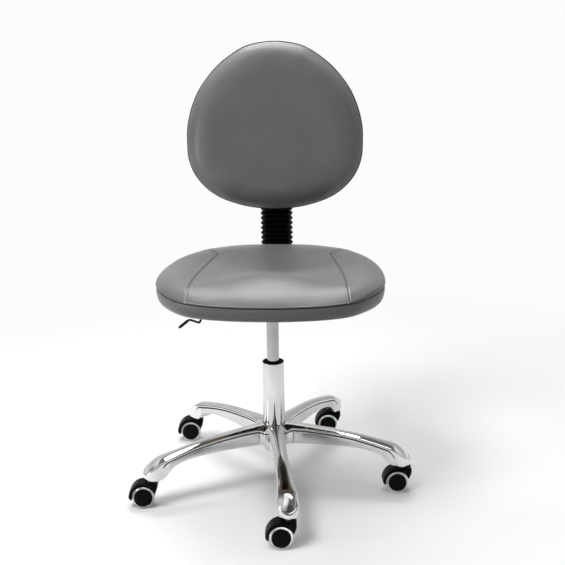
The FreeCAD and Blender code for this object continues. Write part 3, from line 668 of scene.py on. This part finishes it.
SEAT_HALF = [(0, -219), (78, -214), (140, -201), (184, -180), (216, -145), (239, -106), (249, -65), (247, 0),
             (234, 64), (211, 119), (167, 180), (107, 207), (50, 214.5), (0, 215)]
SEAT_WIDE, SEAT_DEEP = 249, 219
SEAM_WIDE, SEAM_DEEP = 243, 214
SEAT_LOW = 453
CLOTH_FRAMES, SMOOTHING = 20, 10
STAPLE_INSET, STAPLE_HALF = 38, 5.2
SEAM_Z, SEAM_TILT = 497, math.tan(math.radians(2.6))
INSERT = [(172, -204), (170, -191), (166, -147), (161, -80), (149, 17), (132, 113)]
INSERT_TAIL = [(132, 113), (147, 138), (160, 160), (170, 172)]
SEAM_FRONT = [(172, -203), (170.5, -190), (167, -160), (166, -146)]


def seam_height(y):
    return SEAM_Z + y * SEAM_TILT


def shoulder(y):
    """How far the pad stands up above its seam before it rounds over: low in front, full at the sides."""
    return 3.5 + 7.5 * ease(-190, -60, y)


def seat_top(x, y, inset):
    """Height of the seat's top: rounded rim, bucket, raised middle front and thigh troughs."""
    wall = shoulder(y)
    z = seam_height(y) + wall + (22.5 - wall) * (1 - np.exp(-inset / 17.0))
    z -= y * (SEAM_TILT - 0.022)
    z -= 15.0 * np.exp(-((np.abs(x) / 132) ** 2.6 + (np.abs(y - 36) / 92) ** 2.6))
    fan = 34 + 1.15 * np.maximum(0, -58 - y)
    z += 11.0 * np.exp(-np.abs(x / fan) ** 1.8) * ease(-40, -84, y) * (1 - 0.92 * ease(-96, -206, y))
    z -= 5.0 * np.exp(-(((np.abs(x) - 112) / 44) ** 2 + ((y + 118) / 64) ** 2))
    z -= 6.0 * ease(-128, -219, y)
    z += 3.5 * np.exp(-((np.abs(x) - 200) / 32) ** 2) * np.exp(-((y + 5) / 125) ** 2)
    return z


def disc_grid(half, count):
    """A square grid spread over a star-shaped outline: its points, and 1 - share of the way out."""
    s = np.linspace(-1, 1, count)
    s = s * 1.3 - 0.3 * s ** 3
    u, v = np.meshgrid(s, s, indexing="ij")
    x, y = u * np.sqrt(1 - v * v / 2), v * np.sqrt(1 - u * u / 2)
    loop, _ = closed_curve(half, 720)
    angle = np.arctan2(loop[:, 1], loop[:, 0])
    order = np.argsort(angle)
    reach = np.interp(np.arctan2(y, x), angle[order], np.hypot(loop[order, 0], loop[order, 1]),
                      period=2 * math.pi)
    share = np.hypot(x, y)
    safe = np.maximum(share, 1e-9)
    return np.stack([x / safe * share * reach, y / safe * share * reach], -1), 1 - share


def pulled_in(flat, inset, wide, deep):
    """Flat points drawn in by an inset, which may differ from point to point."""
    inset = inset + 0 * flat[:, 0]
    return flat * np.stack([1 - inset / wide, 1 - inset / deep], 1)


def grid_rim(count):
    """Indices round the border of a square grid."""
    n = count - 1
    rim = [(i, 0) for i in range(n)] + [(n, j) for j in range(n)]
    rim += [(i, n) for i in range(n, 0, -1)] + [(0, j) for j in range(n, 0, -1)]
    return [i * count + j for i, j in rim]


def pad_shell(half, count, first_inset, top_of, rings, last_of):
    """A closed pad: a grid on top, rings of (inset, height rule) down its side and a grid below."""
    wide = max(p[0] for p in half)
    deep = max(abs(p[1]) for p in half)

    def layer(flat, inset, rule):
        spot = pulled_in(flat, inset(flat[:, 1]) if callable(inset) else inset, wide, deep)
        return np.column_stack([spot, rule(spot[:, 0], spot[:, 1])])

    grid, inward = disc_grid(half, count)
    flat = grid.reshape(-1, 2)
    near = inward.reshape(-1) * min(wide, deep)
    rim = grid_rim(count)
    corners = [i * count + j for i in range(count - 1) for j in range(count - 1)]
    points = [layer(flat, first_inset, lambda x, y: top_of(x, y, near))]
    faces = [(i, i + count, i + count + 1, i + 1) for i in corners]
    before, start = rim, len(flat)
    for inset, rule in rings:
        points.append(layer(flat[rim], inset, rule))
        here = list(range(start, start + len(rim)))
        faces += strip(before, here)
        before, start = here, start + len(rim)
    points.append(layer(flat, *last_of))
    faces += [(start + i, start + i + 1, start + i + count + 1, start + i + count) for i in corners]
    faces += strip(before, [start + i for i in rim])
    return np.concatenate(points), faces


def rows_of(items, key, kind=float, size=3):
    """A property of a mesh's points or edges, one row for each."""
    values = np.zeros(len(items) * size, kind)
    items.foreach_get(key, values)
    return values.reshape(-1, size)


def co_of(piece):
    return rows_of(piece.data.vertices, "co") / MM


def shape_pad(piece, co, painted_seam_shade):
    """Moves a pad's points to places in millimetres and stores each point's painted seam shade, strongest
    deep in a seam.
    """
    piece.data.vertices.foreach_set("co", (co * MM).ravel())
    depth = piece.data.attributes.new("painted_seam_shade", "FLOAT", "POINT")
    depth.data.foreach_set("value", painted_seam_shade.astype(np.float32))
    piece.data.update()


def puff(piece, held, cap):
    """Swells a pad as stuffed cloth with its seams held, and keeps every point near where it was."""
    data = piece.data
    rest = rows_of(data.vertices, "co")
    group = piece.vertex_groups.new(name="held")
    for i in np.nonzero(held)[0]:
        group.add([int(i)], 1.0, "REPLACE")
    cloth = piece.modifiers.new("cloth", "CLOTH")
    settings = cloth.settings
    settings.quality = 6
    settings.vertex_group_mass = "held"
    settings.use_pressure = True
    settings.uniform_pressure_force = 4.0
    settings.effector_weights.gravity = 0
    settings.tension_stiffness = settings.compression_stiffness = 20
    settings.bending_stiffness = 2
    cloth.collision_settings.use_self_collision = False
    cloth.point_cache.frame_start, cloth.point_cache.frame_end = 1, CLOTH_FRAMES
    scene = bpy.context.scene
    for step in range(1, CLOTH_FRAMES + 1):
        scene.frame_set(step)
    shape = piece.evaluated_get(bpy.context.evaluated_depsgraph_get()).to_mesh()
    move = rows_of(shape.vertices, "co") - rest
    piece.modifiers.remove(cloth)
    scene.frame_set(1)
    far = np.linalg.norm(move, axis=1)
    move *= (cap * MM * np.tanh(far / (cap * MM)) / np.maximum(far, 1e-12))[:, None]
    edges = rows_of(data.edges, "vertices", np.int64, 2)
    weight = np.bincount(edges.ravel(), minlength=len(rest)).astype(float)[:, None]
    for _ in range(SMOOTHING):
        total = np.zeros_like(move)
        np.add.at(total, edges[:, 0], move[edges[:, 1]])
        np.add.at(total, edges[:, 1], move[edges[:, 0]])
        move = np.where(held[:, None], 0, 0.5 * move + 0.5 * total / weight)
    data.vertices.foreach_set("co", (rest + move).ravel())
    piece.vertex_groups.clear()
    data.update()


def refine(piece, levels):
    """Applies subdivision, so that later shaping works on a fine mesh."""
    rounder = piece.modifiers.new("fine", "SUBSURF")
    rounder.levels = rounder.render_levels = levels
    shape = bpy.data.meshes.new_from_object(piece.evaluated_get(bpy.context.evaluated_depsgraph_get()))
    piece.modifiers.clear()
    old = piece.data
    piece.data = shape
    bpy.data.meshes.remove(old)
    shape.name = piece.name
    shape.polygons.foreach_set("use_smooth", np.ones(len(shape.polygons), bool))


def away_from(points, line):
    """Distance of each point from a line of points."""
    nearest = np.full(len(points), 1e9)
    for a, b in zip(line, line[1:]):
        run = b - a
        s = np.clip(((points - a) @ run) / (run @ run), 0, 1)
        nearest = np.minimum(nearest, np.linalg.norm(points - a - s[:, None] * run, axis=1))
    return nearest


def smooth_line(points, step=2.0):
    """Evenly spaced points along a smooth line through the given ones."""
    points = np.array(points, float)
    dense = through(np.vstack([2 * points[0] - points[1], points, 2 * points[-1] - points[-2]]), 30)
    dense = np.array(dense + [points[-1]])
    along = lengths(dense)
    return spots_on(dense, along, np.arange(0, along[-1], step))


def seam_lines():
    """The insert's two seams, each a side line with its tail to the rear edge."""
    return [smooth_line([(side * x, y) for x, y in part])
            for side in (-1, 1) for part in (INSERT, INSERT_TAIL)]


def at_rim(co):
    """The points close to the seat's edge."""
    return np.hypot(co[:, 0] / SEAM_WIDE, co[:, 1] / SEAM_DEEP) > 0.93


def seat_pad():
    def above(share):
        return lambda x, y: seam_height(y) + 1.2 + (shoulder(y) - 1.2) * share

    def band(share):
        return lambda x, y: SEAT_LOW + (seam_height(y) - SEAT_LOW) * share

    def bulge(most):
        return lambda y: 1.0 - most * (shoulder(y) - 3.5) / 7.5

    def level(lift):
        return lambda x, y: SEAT_LOW + lift + 0 * x

    rings = [(bulge(1.6), above(0.75)), (bulge(2.2), above(0.5)), (bulge(1.4), above(0.25)),
             (1.0, above(0.06)), (2.4, lambda x, y: seam_height(y)), (1.2, lambda x, y: seam_height(y) - 1.0),
             (0.4, lambda x, y: seam_height(y) - 3), (0.0, band(0.80)), (0.5, band(0.66)), (1.8, band(0.48)),
             (4.0, band(0.32)), (7.5, band(0.18)), (12.0, band(0.07)), (19.0, band(0.004)), (29.8, band(0)),
             (30.4, level(1.5)), (30.4, level(11))]
    points, faces = pad_shell(SEAT_HALF, 67, 0.9, seat_top, rings, (34, level(12.4)))
    piece = make("seat_pad", points, faces, [VINYL], 180)
    co = co_of(piece)
    seam = seam_height(co[:, 1])
    inside = np.hypot(co[:, 0] / SEAT_WIDE, co[:, 1] / SEAT_DEEP) < 0.9
    held = (np.abs(co[:, 2] - seam) < 3.2) & at_rim(co) | (co[:, 2] < SEAT_LOW + 5)
    held |= (co[:, 2] < SEAT_LOW + 12.6) & inside
    for line in seam_lines():
        held |= (away_from(co[:, :2], line) < 3.8) & (co[:, 2] > seam)
    puff(piece, held, 4.5)
    refine(piece, 2)
    co, normal = co_of(piece), rows_of(piece.data.vertices, "normal")
    on_top = (co[:, 2] > seam_height(co[:, 1]) + 1.5) & (normal[:, 2] > 0.2)
    # Painted seam shade, strongest in the insert seams and along the rim seam.
    painted_seam_shade = np.zeros(len(co))
    for line in seam_lines():
        off = away_from(co[:, :2], line)
        lift = 0.5 * np.exp(-((off - 5.5) / 3.5) ** 2) - 1.7 * np.exp(-(off / 1.5) ** 2)
        co += normal * (on_top * lift)[:, None]
        painted_seam_shade = np.maximum(painted_seam_shade, on_top * 0.7 * np.exp(-(off / 0.9) ** 2))
    rim_off = np.abs(co[:, 2] - seam_height(co[:, 1]))
    shape_pad(piece, co, np.maximum(painted_seam_shade, at_rim(co) * 0.7 * np.exp(-(rim_off / 1.1) ** 2)))
    settle(piece, "seat", ["seat_cushion"])
    return piece


def seat():
    surface = BVHTree.FromObject(seat_pad(), bpy.context.evaluated_depsgraph_get())

    def dropped(rays, lift):
        """Where rays of (start, way) in millimetres meet the seat, lifted off it."""
        hits = [surface.ray_cast(Vector(start) * MM, way)[:2] for start, way in rays]
        return np.array([np.array(spot) / MM + np.array(normal) * lift
                         for spot, normal in hits if spot is not None])

    def laid(line, lift):
        return dropped([((x, y, 700), Vector((0, 0, -1))) for x, y in line], lift)

    # Thin dark lines laid in the insert seams: painted shade.
    shells = [tube(laid(line, 0.1), 0.45, 8) for line in seam_lines()]
    settle(make("seat_insert_seam_shade", *joined(shells), [SEAM_SHADE_CORD]), "seat", ())

    # The rim's welt cord, coloured dark as painted seam shade.
    loop, _ = closed_curve(SEAT_HALF, 300)
    flat = pulled_in(loop, 1.6, SEAT_WIDE, SEAT_DEEP)
    path = np.column_stack([flat, seam_height(flat[:, 1])])
    settle(make("seat_welt", *tube(path, 1.0, 12, True), [SEAM_SHADE_CORD]), "seat", ["seat_piping"])

    stitches = []
    for side, off in ((-1, 0.6), (1, -3.0), (1, 3.0)):
        line = smooth_line([(side * x + off, y) for x, y in SEAM_FRONT], 1.0)
        stitches += stitched(laid(line, 0.45), 6.0, 4.8, 0.62)
    front = pulled_in(loop, 2.4, SEAT_WIDE, SEAT_DEEP)
    front = front[(np.abs(front[:, 0]) < 174) & (front[:, 1] < 20)]
    rays = []
    for x, y in smooth_line(front[np.argsort(front[:, 0])], 1.0):
        out = 1 + 30 / math.hypot(x, y)
        start = Vector((x * out, y * out, seam_height(y) + 22))
        rays.append((start, (Vector((x, y, seam_height(y) + 2.6)) - start).normalized()))
    stitches += stitched(dropped(rays, 0.3), 6.0, 4.3, 0.5)
    settle(make("seat_stitching", *joined(stitches), [THREAD]), "seat", ())
    wrap()


def stitched(line, pitch, long, radius):
    """Short threads along a line, each sinking at its ends."""
    along = lengths(line)
    made = []
    start = pitch / 2
    while start + long < along[-1]:
        spots = spots_on(line, along, np.linspace(start, start + long, 5))
        made.append(tube(spots, [radius * k for k in (0.55, 0.95, 1, 0.95, 0.55)], 7))
        start += pitch
    return made


def wrap():
    """The vinyl turned over the board's underside, with its staples."""
    loop, _ = closed_curve(SEAT_HALF, 360)
    angle = np.arctan2(loop[:, 1], loop[:, 0])
    wave = 1.4 * np.sin(angle * 23) + 1.0 * np.sin(angle * 41 + 1.0)

    def ring(inset, waves, lift):
        flat = pulled_in(loop, inset + waves * wave, SEAT_WIDE, SEAT_DEEP)
        return np.column_stack([flat, np.full(len(flat), SEAT_LOW + lift)])

    section = [(20, 0, 0.25), (24, 0, -0.85), (34, 0, -1.0), (44, 1, -0.95), (46.5, 1, -0.7),
               (46.8, 1, -0.05), (34, 0, -0.02), (22, 0, 0.3), (20, 0, 0.25)]
    piece = make("seat_wrap", *skin([ring(*row) for row in section], False), [VINYL], 60)
    settle(piece, "seat", ())
    staples = []
    half = pulled_in(np.array(SEAT_HALF, float), STAPLE_INSET, SEAT_WIDE, SEAT_DEEP).tolist()
    for (x, y), (nx, ny) in zip(*closed_curve(half, 62)):
        tilt = math.atan2(nx, -ny) + random.uniform(-0.12, 0.12)
        dx, dy = STAPLE_HALF * math.cos(tilt), STAPLE_HALF * math.sin(tilt)
        corners = [(-1, SEAT_LOW - 0.4), (-1, SEAT_LOW - 1.4), (1, SEAT_LOW - 1.4), (1, SEAT_LOW - 0.4)]
        staples.append(tube(bent([(x + k * dx, y + k * dy, z) for k, z in corners], 0.5, 3), 0.45, 6))
    settle(make("seat_staples", *joined(staples), [ZINC]), "seat", ())


# ---- backrest

BACK_HALF = [(0, -195), (53, -191), (96, -181), (134, -166), (166, -143), (191, -112), (205, -74),
             (207.5, -29), (205, 6), (194, 48), (174, 90), (139, 134), (98, 167), (58, 187), (0, 195)]
BACK_WIDE, BACK_DEEP = 207.5, 195
# The pads are shaped lying down, outline in X and Y with the sitter's side up, then stood up and leaned.
BACK = at(0, 200, 806, "X", -6) @ Matrix.Rotation(math.radians(90), 4, "X")


def stand_up(piece, seam, replaced):
    """Puts a lying pad of the backrest in its place, with its seam at a height."""
    co = co_of(piece)
    # Painted shade along the seam at the given height.
    shape_pad(piece, moved(co, BACK), 0.6 * np.exp(-((co[:, 2] + seam) / 1.4) ** 2))
    settle(piece, "backrest", [replaced])


def back():
    def flat(z):
        return lambda x, y: z + 0 * x

    def face(x, y, near):
        crown = 31.5 - 3.0 * ((x / 207) ** 2 + (y / 195) ** 2)
        return -2 + (crown + 2) * (1 - np.exp(-((near + 2.2) / 15.5) ** 1.15))

    def rear(_x, _y, near):
        return 5.9 + 20.9 * (1 - np.exp(-((near + 1.5) / 8.0) ** 1.3))

    rings = [(1.8, flat(-0.8)), (1.9, flat(-3.0)), (2.5, flat(-4.8)), (3.5, flat(-5.6)), (8, flat(-5.9)),
             (12, flat(-5.9))]
    points, faces = pad_shell(BACK_HALF, 59, 2.3, face, rings, (16, flat(-5.9)))
    pad = make("back_pad", points, faces, [VINYL], 180)
    puff(pad, co_of(pad)[:, 2] < -1.2, 2.0)
    refine(pad, 2)
    stand_up(pad, 5.4, "back_cushion")

    rings = [(1.0, flat(8.0)), (2.0, flat(6.9)), (3.4, flat(6.2)), (8, flat(6.1)), (12, flat(6.1))]
    points, faces = pad_shell(BACK_HALF, 55, 1.4, rear, rings, (16, flat(6.1)))
    shell = make("back_shell", points * np.array([1, 1, -1]), faces, [VINYL], 180)
    refine(shell, 1)
    stand_up(shell, 6.4, "back_cover")

    # The seam cord round the backrest, coloured dark as painted seam shade.
    loop, _ = closed_curve(BACK_HALF, 300)
    path = np.column_stack([pulled_in(loop, 1.0, BACK_WIDE, BACK_DEEP), np.full(300, -6.0)])
    cord = make("back_seam_cord", *tube(moved(path, BACK), 1.3, 10, True), [SEAM_SHADE_CORD])
    settle(cord, "backrest", ())


def bellows():
    """A ribbed rubber sleeve round the bar, with a cuff at each end."""
    low, high, folds, steps = 472, 647, 14, 8
    middle, straight = 240.5, 20.5
    angles = np.linspace(0, 2 * math.pi, 96, endpoint=False)
    across, along = np.cos(angles), np.sin(angles)

    def ring(radius, z):
        return np.column_stack([np.sign(across) * straight + radius * across, middle + radius * along,
                                np.full(len(angles), z)])

    cuff = [(12.0, 0.2), (15.4, 0.2), (15.8, 1.2)]
    loops = [ring(radius, low + z) for radius, z in cuff]
    for k in range(folds * steps + 1):
        ridge = (1 - math.cos(2 * math.pi * k / steps)) / 2
        loops.append(ring(14.3 + 4.7 * ridge ** 0.75, low + 2.2 + (high - low - 4.4) * k / (folds * steps)))
    loops += [ring(radius, high - z) for radius, z in reversed(cuff)]
    for loop in loops:
        loop[np.abs(across) < 1e-9, 0] = 0
    loops += [ring(12.0, high - 6), ring(12.0, low + 6), loops[0]]
    piece = make("bellows_boot", *skin(loops, False), [BOOT], 60)
    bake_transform(piece)
    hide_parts("back_bellows")


def lever():
    route = [(-29, 0, 443), (-57, -5, 441.6), (-144, -76, 438), (-151.5, -106, 421), (-172.6, -110.7, 430),
             (-195, -112.1, 412)]
    arm = tube(bent(route, 4, 7), 2.4, 18)
    eye = lathe([(2.56, -6), (5.5, -6, 0.7), (5.5, 6, 0.7), (2.56, 6)], 32, True, at(-26, 0, 443, "X", 90))
    finger = lathe([(0, 0), (2.4, 0, 0.4), (2.4, 31, 1), (0, 31)], 24, False, at(-26, 0, 444.1, "Y", 90))
    settle(make("lever_arm", *joined([arm, eye, finger]), [POWDER]), "lever", ["lever_rod"])
    start, stop = np.array(route[-2], float), np.array(route[-1], float)
    way = (stop - start) / np.linalg.norm(stop - start)
    spots = [start + way * s for s in (4, 5, 8, 14, 20, 25, 26.6, 27.4)]
    grip = make("lever_handle", *tube(spots, [2.6, 3.1, 3.3, 3.1, 3.3, 3.3, 2.9, 2.0], 20), [PLASTIC])
    settle(grip, "lever", ["lever_grip"])


# ---- carried-over nodes

def carried():
    """CAD nodes that stay get their finishes, and small rounded edges where a width in mm is given."""
    looks = [
        ("gas_cylinder", PISTON_TUBE, 0.4), ("piston_rod", ZINC, 0), ("release_pin", ZINC, 0),
        ("retaining_clip", ZINC, 0), ("thrust_bearing", ZINC, 0), ("bump_stop", RUBBER, 0),
        ("seat_mechanism", POWDER, 0.9), ("mechanism_bolts", ZINC, 0.5), ("seat_board", PLY, 0),
        ("back_board", PLY, 0), ("back_bar", POWDER, 0.8), ("back_bracket", PLASTIC, 1.8),
        ("bracket_screws", ZINC, 0.5), ("depth_knob", PLASTIC, 0.7), ("height_knob", PLASTIC, 0.7),
    ]
    for k in range(1, ARM_COUNT + 1):
        looks += [("caster_%d_stem" % k, ZINC, 0), ("caster_%d_axle" % k, ZINC, 0)]
    for name, look, width in looks:
        item = nodes[name]
        item.data.materials.clear()
        item.data.materials.append(look)
        if width:
            bevel(item, width, 35).harden_normals = True


# ---- studio

WHITE = (1, 1, 1, 1)
BACKDROP = (0.975, 0.975, 0.975 * 0.99, 1)
# Each lamp: its name, place, aim, size, power, whether glossy surfaces mirror it, and its beam in degrees.
LAMPS = [
    ("key", (-1.15, -0.9, 3.2), (0, 0, 0.5), (1.2, 1.2), 66, False, 180),
    ("top", (0.2, 0.3, 3.4), (0, 0, 0.4), (2.6, 0.6), 24, True, 180),
    ("rear", (-0.2, 1.25, 2.9), (0, -0.1, 0.5), (2.0, 0.4), 43, True, 180),
    ("left", (-2.0, -0.95, 0.6), (0, 0, 0.55), (0.5, 1.1), 10, True, 180),
    ("right", (2.1, 0.2, 1.4), (0, 0.1, 0.9), (0.4, 0.8), 1.2, True, 180),
    ("low", (0.2, -2.8, 0.45), (0, 0, 0.03), (0.5, 0.3), 0.5, False, 14),
]
FLOOR_BOUNCE = 0.21
# Brightness of the reflected studio: by height (0 is below the horizon, 1 overhead), and round it.
DOME = [(0.0, 0.55), (0.17, 0.75), (0.26, 0.80), (0.36, 0.58), (0.58, 0.64), (0.72, 0.92), (1.0, 1.0)]
BANDS = [(0.0, 0.15), (0.05, 0.2), (0.075, 1.0), (0.105, 1.0), (0.125, 0.1), (0.20, 0.12), (0.225, 1.0),
         (0.265, 1.0), (0.28, 0.06), (0.345, 0.10), (0.37, 0.85), (0.42, 0.45), (0.46, 0.3), (0.50, 0.55),
         (0.56, 0.95), (0.70, 0.7), (0.78, 1.0), (0.93, 1.0), (0.965, 0.2), (1.0, 0.15)]
# Overhead, dark panels run front to back on both sides of a bright gap: across is X over height.
PANELS = [(0.0, 1.0), (0.12, 1.0), (0.2, 0.16), (0.62, 0.2), (0.8, 1.0), (1.0, 1.0)]
# A soft glow on one side, and the dark room in front of the stool: their directions and brightness.
BOX_WAY, BOX_GLOW = (-0.46, -0.42, 0.78), 0.5
DARK_WAY, GLOOM = (0.05, -0.9, 0.43), (0.45, 0.45, 0.45, 1)
DULL_FILL = 0.13
# The main view: the eye in metres, which way it looks (from +Y, down and tilted, in degrees), the lens in mm.
EYE = (0.1288, -2.1061, 1.082)
YAW, PITCH, ROLL = (math.radians(a) for a in (-2.85, 15.9, -0.8))
SENSOR, LENS = 36, 62.38


def studio():
    """A pale floor that fades into the pale background, six lamps and soft surroundings."""
    ground = finish("studio_floor", grey(244), 0.6, Specular_IOR_Level=0.1)
    where = place_on(ground)
    wire(ground, Base_Color=shades(ground, noise(ground, where, 2), grey(243), grey(246)))
    far = node(ground, "VectorMath", {0: where}, operation="LENGTH").outputs["Value"]
    glow = node(ground, "Emission", {"Color": BACKDROP}).outputs[0]
    lit = ground.node_tree.nodes["Principled BSDF"].outputs[0]
    fading = node(ground, "MixShader",
                  {0: spread(ground, far, 0.0, 1.0, 0.7, 1.7), 1: lit, 2: glow}).outputs[0]
    # The floor throws less light up than it shows, as a studio's does with dark walls round it.
    dim = node(ground, "Emission", {"Color": WHITE, "Strength": FLOOR_BOUNCE}).outputs[0]
    bounce = node(ground, "LightPath").outputs["Is Diffuse Ray"]
    shown = node(ground, "MixShader", {0: bounce, 1: fading, 2: dim}).outputs[0]
    ground.node_tree.links.new(shown, ground.node_tree.nodes["Material Output"].inputs["Surface"])
    data = bpy.data.meshes.new("studio_floor")
    data.from_pydata([(-30, -30, 0), (30, -30, 0), (30, 30, 0), (-30, 30, 0)], [], [(0, 1, 2, 3)])
    data.materials.append(ground)
    floor = bpy.data.objects.new("studio_floor", data)
    bpy.context.scene.collection.objects.link(floor)

    for name, spot, aim, size, power, mirrored, beam in LAMPS:
        light = bpy.data.lights.new(name, "AREA")
        light.shape = "RECTANGLE"
        light.size, light.size_y = size
        light.energy = power
        light.spread = math.radians(beam)
        item = bpy.data.objects.new(name, light)
        item.location = spot
        item.rotation_euler = (Vector(aim) - Vector(spot)).to_track_quat("-Z", "Y").to_euler()
        item.visible_glossy = mirrored
        bpy.context.scene.collection.objects.link(item)
    surroundings()
    scene = bpy.context.scene
    scene.view_settings.view_transform = "Standard"
    scene.view_settings.look = "None"


def surroundings():
    """The world: even and pale to the camera, dim on dull surfaces, and a banded studio in reflections."""
    world = bpy.data.worlds.new("studio_world")
    bpy.context.scene.world = world
    world.use_nodes = True
    tree = world.node_tree
    tree.nodes.clear()
    out = tree.nodes.new("ShaderNodeOutputWorld")
    way = node(world, "TexCoord").outputs["Generated"]
    split = node(world, "SeparateXYZ", {"Vector": way})
    height = split.outputs["Z"]

    def levels(amount, stops):
        return ramp(world, amount, [(where, (level, level, level, 1)) for where, level in stops])

    def facing(direction, low, high, start, stop):
        near = node(world, "VectorMath", {0: way, 1: direction}, operation="DOT_PRODUCT")
        return spread(world, near.outputs["Value"], low, high, start, stop)

    def figure(kind, first, second=0.0):
        return node(world, "Math", {0: first, 1: second}, operation=kind).outputs[0]

    def sky(colour, strength=1.0):
        return node(world, "Background", {"Color": colour, "Strength": strength}).outputs[0]

    dome = levels(spread(world, height, 0.0, 1.0, -0.2, 1.0), DOME)
    angle = figure("ARCTAN2", split.outputs["Y"], split.outputs["X"])
    bands = levels(spread(world, angle, 0.0, 1.0, -math.pi, math.pi), BANDS)
    banded = mixed(world, spread(world, height, 1.0, 0.0, 0.5, 0.96), WHITE, bands)
    across = figure("ABSOLUTE", figure("DIVIDE", split.outputs["X"], figure("MAXIMUM", height, 0.2)))
    panels = mixed(world, spread(world, height, 0.0, 1.0, 0.5, 0.75), WHITE, levels(across, PANELS))
    gloom = mixed(world, facing(DARK_WAY, 0.0, 1.0, 0.80, 0.93), WHITE, GLOOM)
    studio_look = dome
    for layer in (banded, panels, gloom):
        studio_look = mixed(world, 1.0, studio_look, layer, "MULTIPLY")
    glow = sky(WHITE, facing(BOX_WAY, 0.0, BOX_GLOW, 0.86, 0.95))
    shiny = node(world, "AddShader", {0: sky(studio_look), 1: glow}).outputs[0]
    rays = node(world, "LightPath").outputs
    unseen = node(world, "MixShader",
                  {0: rays["Is Diffuse Ray"], 1: shiny, 2: sky(WHITE, DULL_FILL)}).outputs[0]
    both = node(world, "MixShader",
                {0: rays["Is Camera Ray"], 1: unseen, 2: sky(BACKDROP)}).outputs[0]
    tree.links.new(both, out.inputs["Surface"])


def camera():
    """The main view: from the front and well above the seat, looking down at the stool."""
    ahead = Vector((math.sin(YAW) * math.cos(PITCH), math.cos(YAW) * math.cos(PITCH), -math.sin(PITCH)))
    right = Vector((math.cos(YAW), -math.sin(YAW), 0))
    up = right.cross(ahead)
    side = right * math.cos(ROLL) + up * math.sin(ROLL)
    top = up * math.cos(ROLL) - right * math.sin(ROLL)
    item = bpy.data.objects.new("camera", bpy.data.cameras.new("camera"))
    item.data.sensor_width = SENSOR
    item.data.lens = LENS
    turn = Matrix((side, top, -ahead)).transposed().to_4x4()
    item.matrix_world = Matrix.Translation(EYE) @ turn
    bpy.context.scene.collection.objects.link(item)
    bpy.context.scene.camera = item


camera()
star()
column()
for number in range(1, ARM_COUNT + 1):
    caster(number)
seat()
back()
bellows()
lever()
carried()
studio()
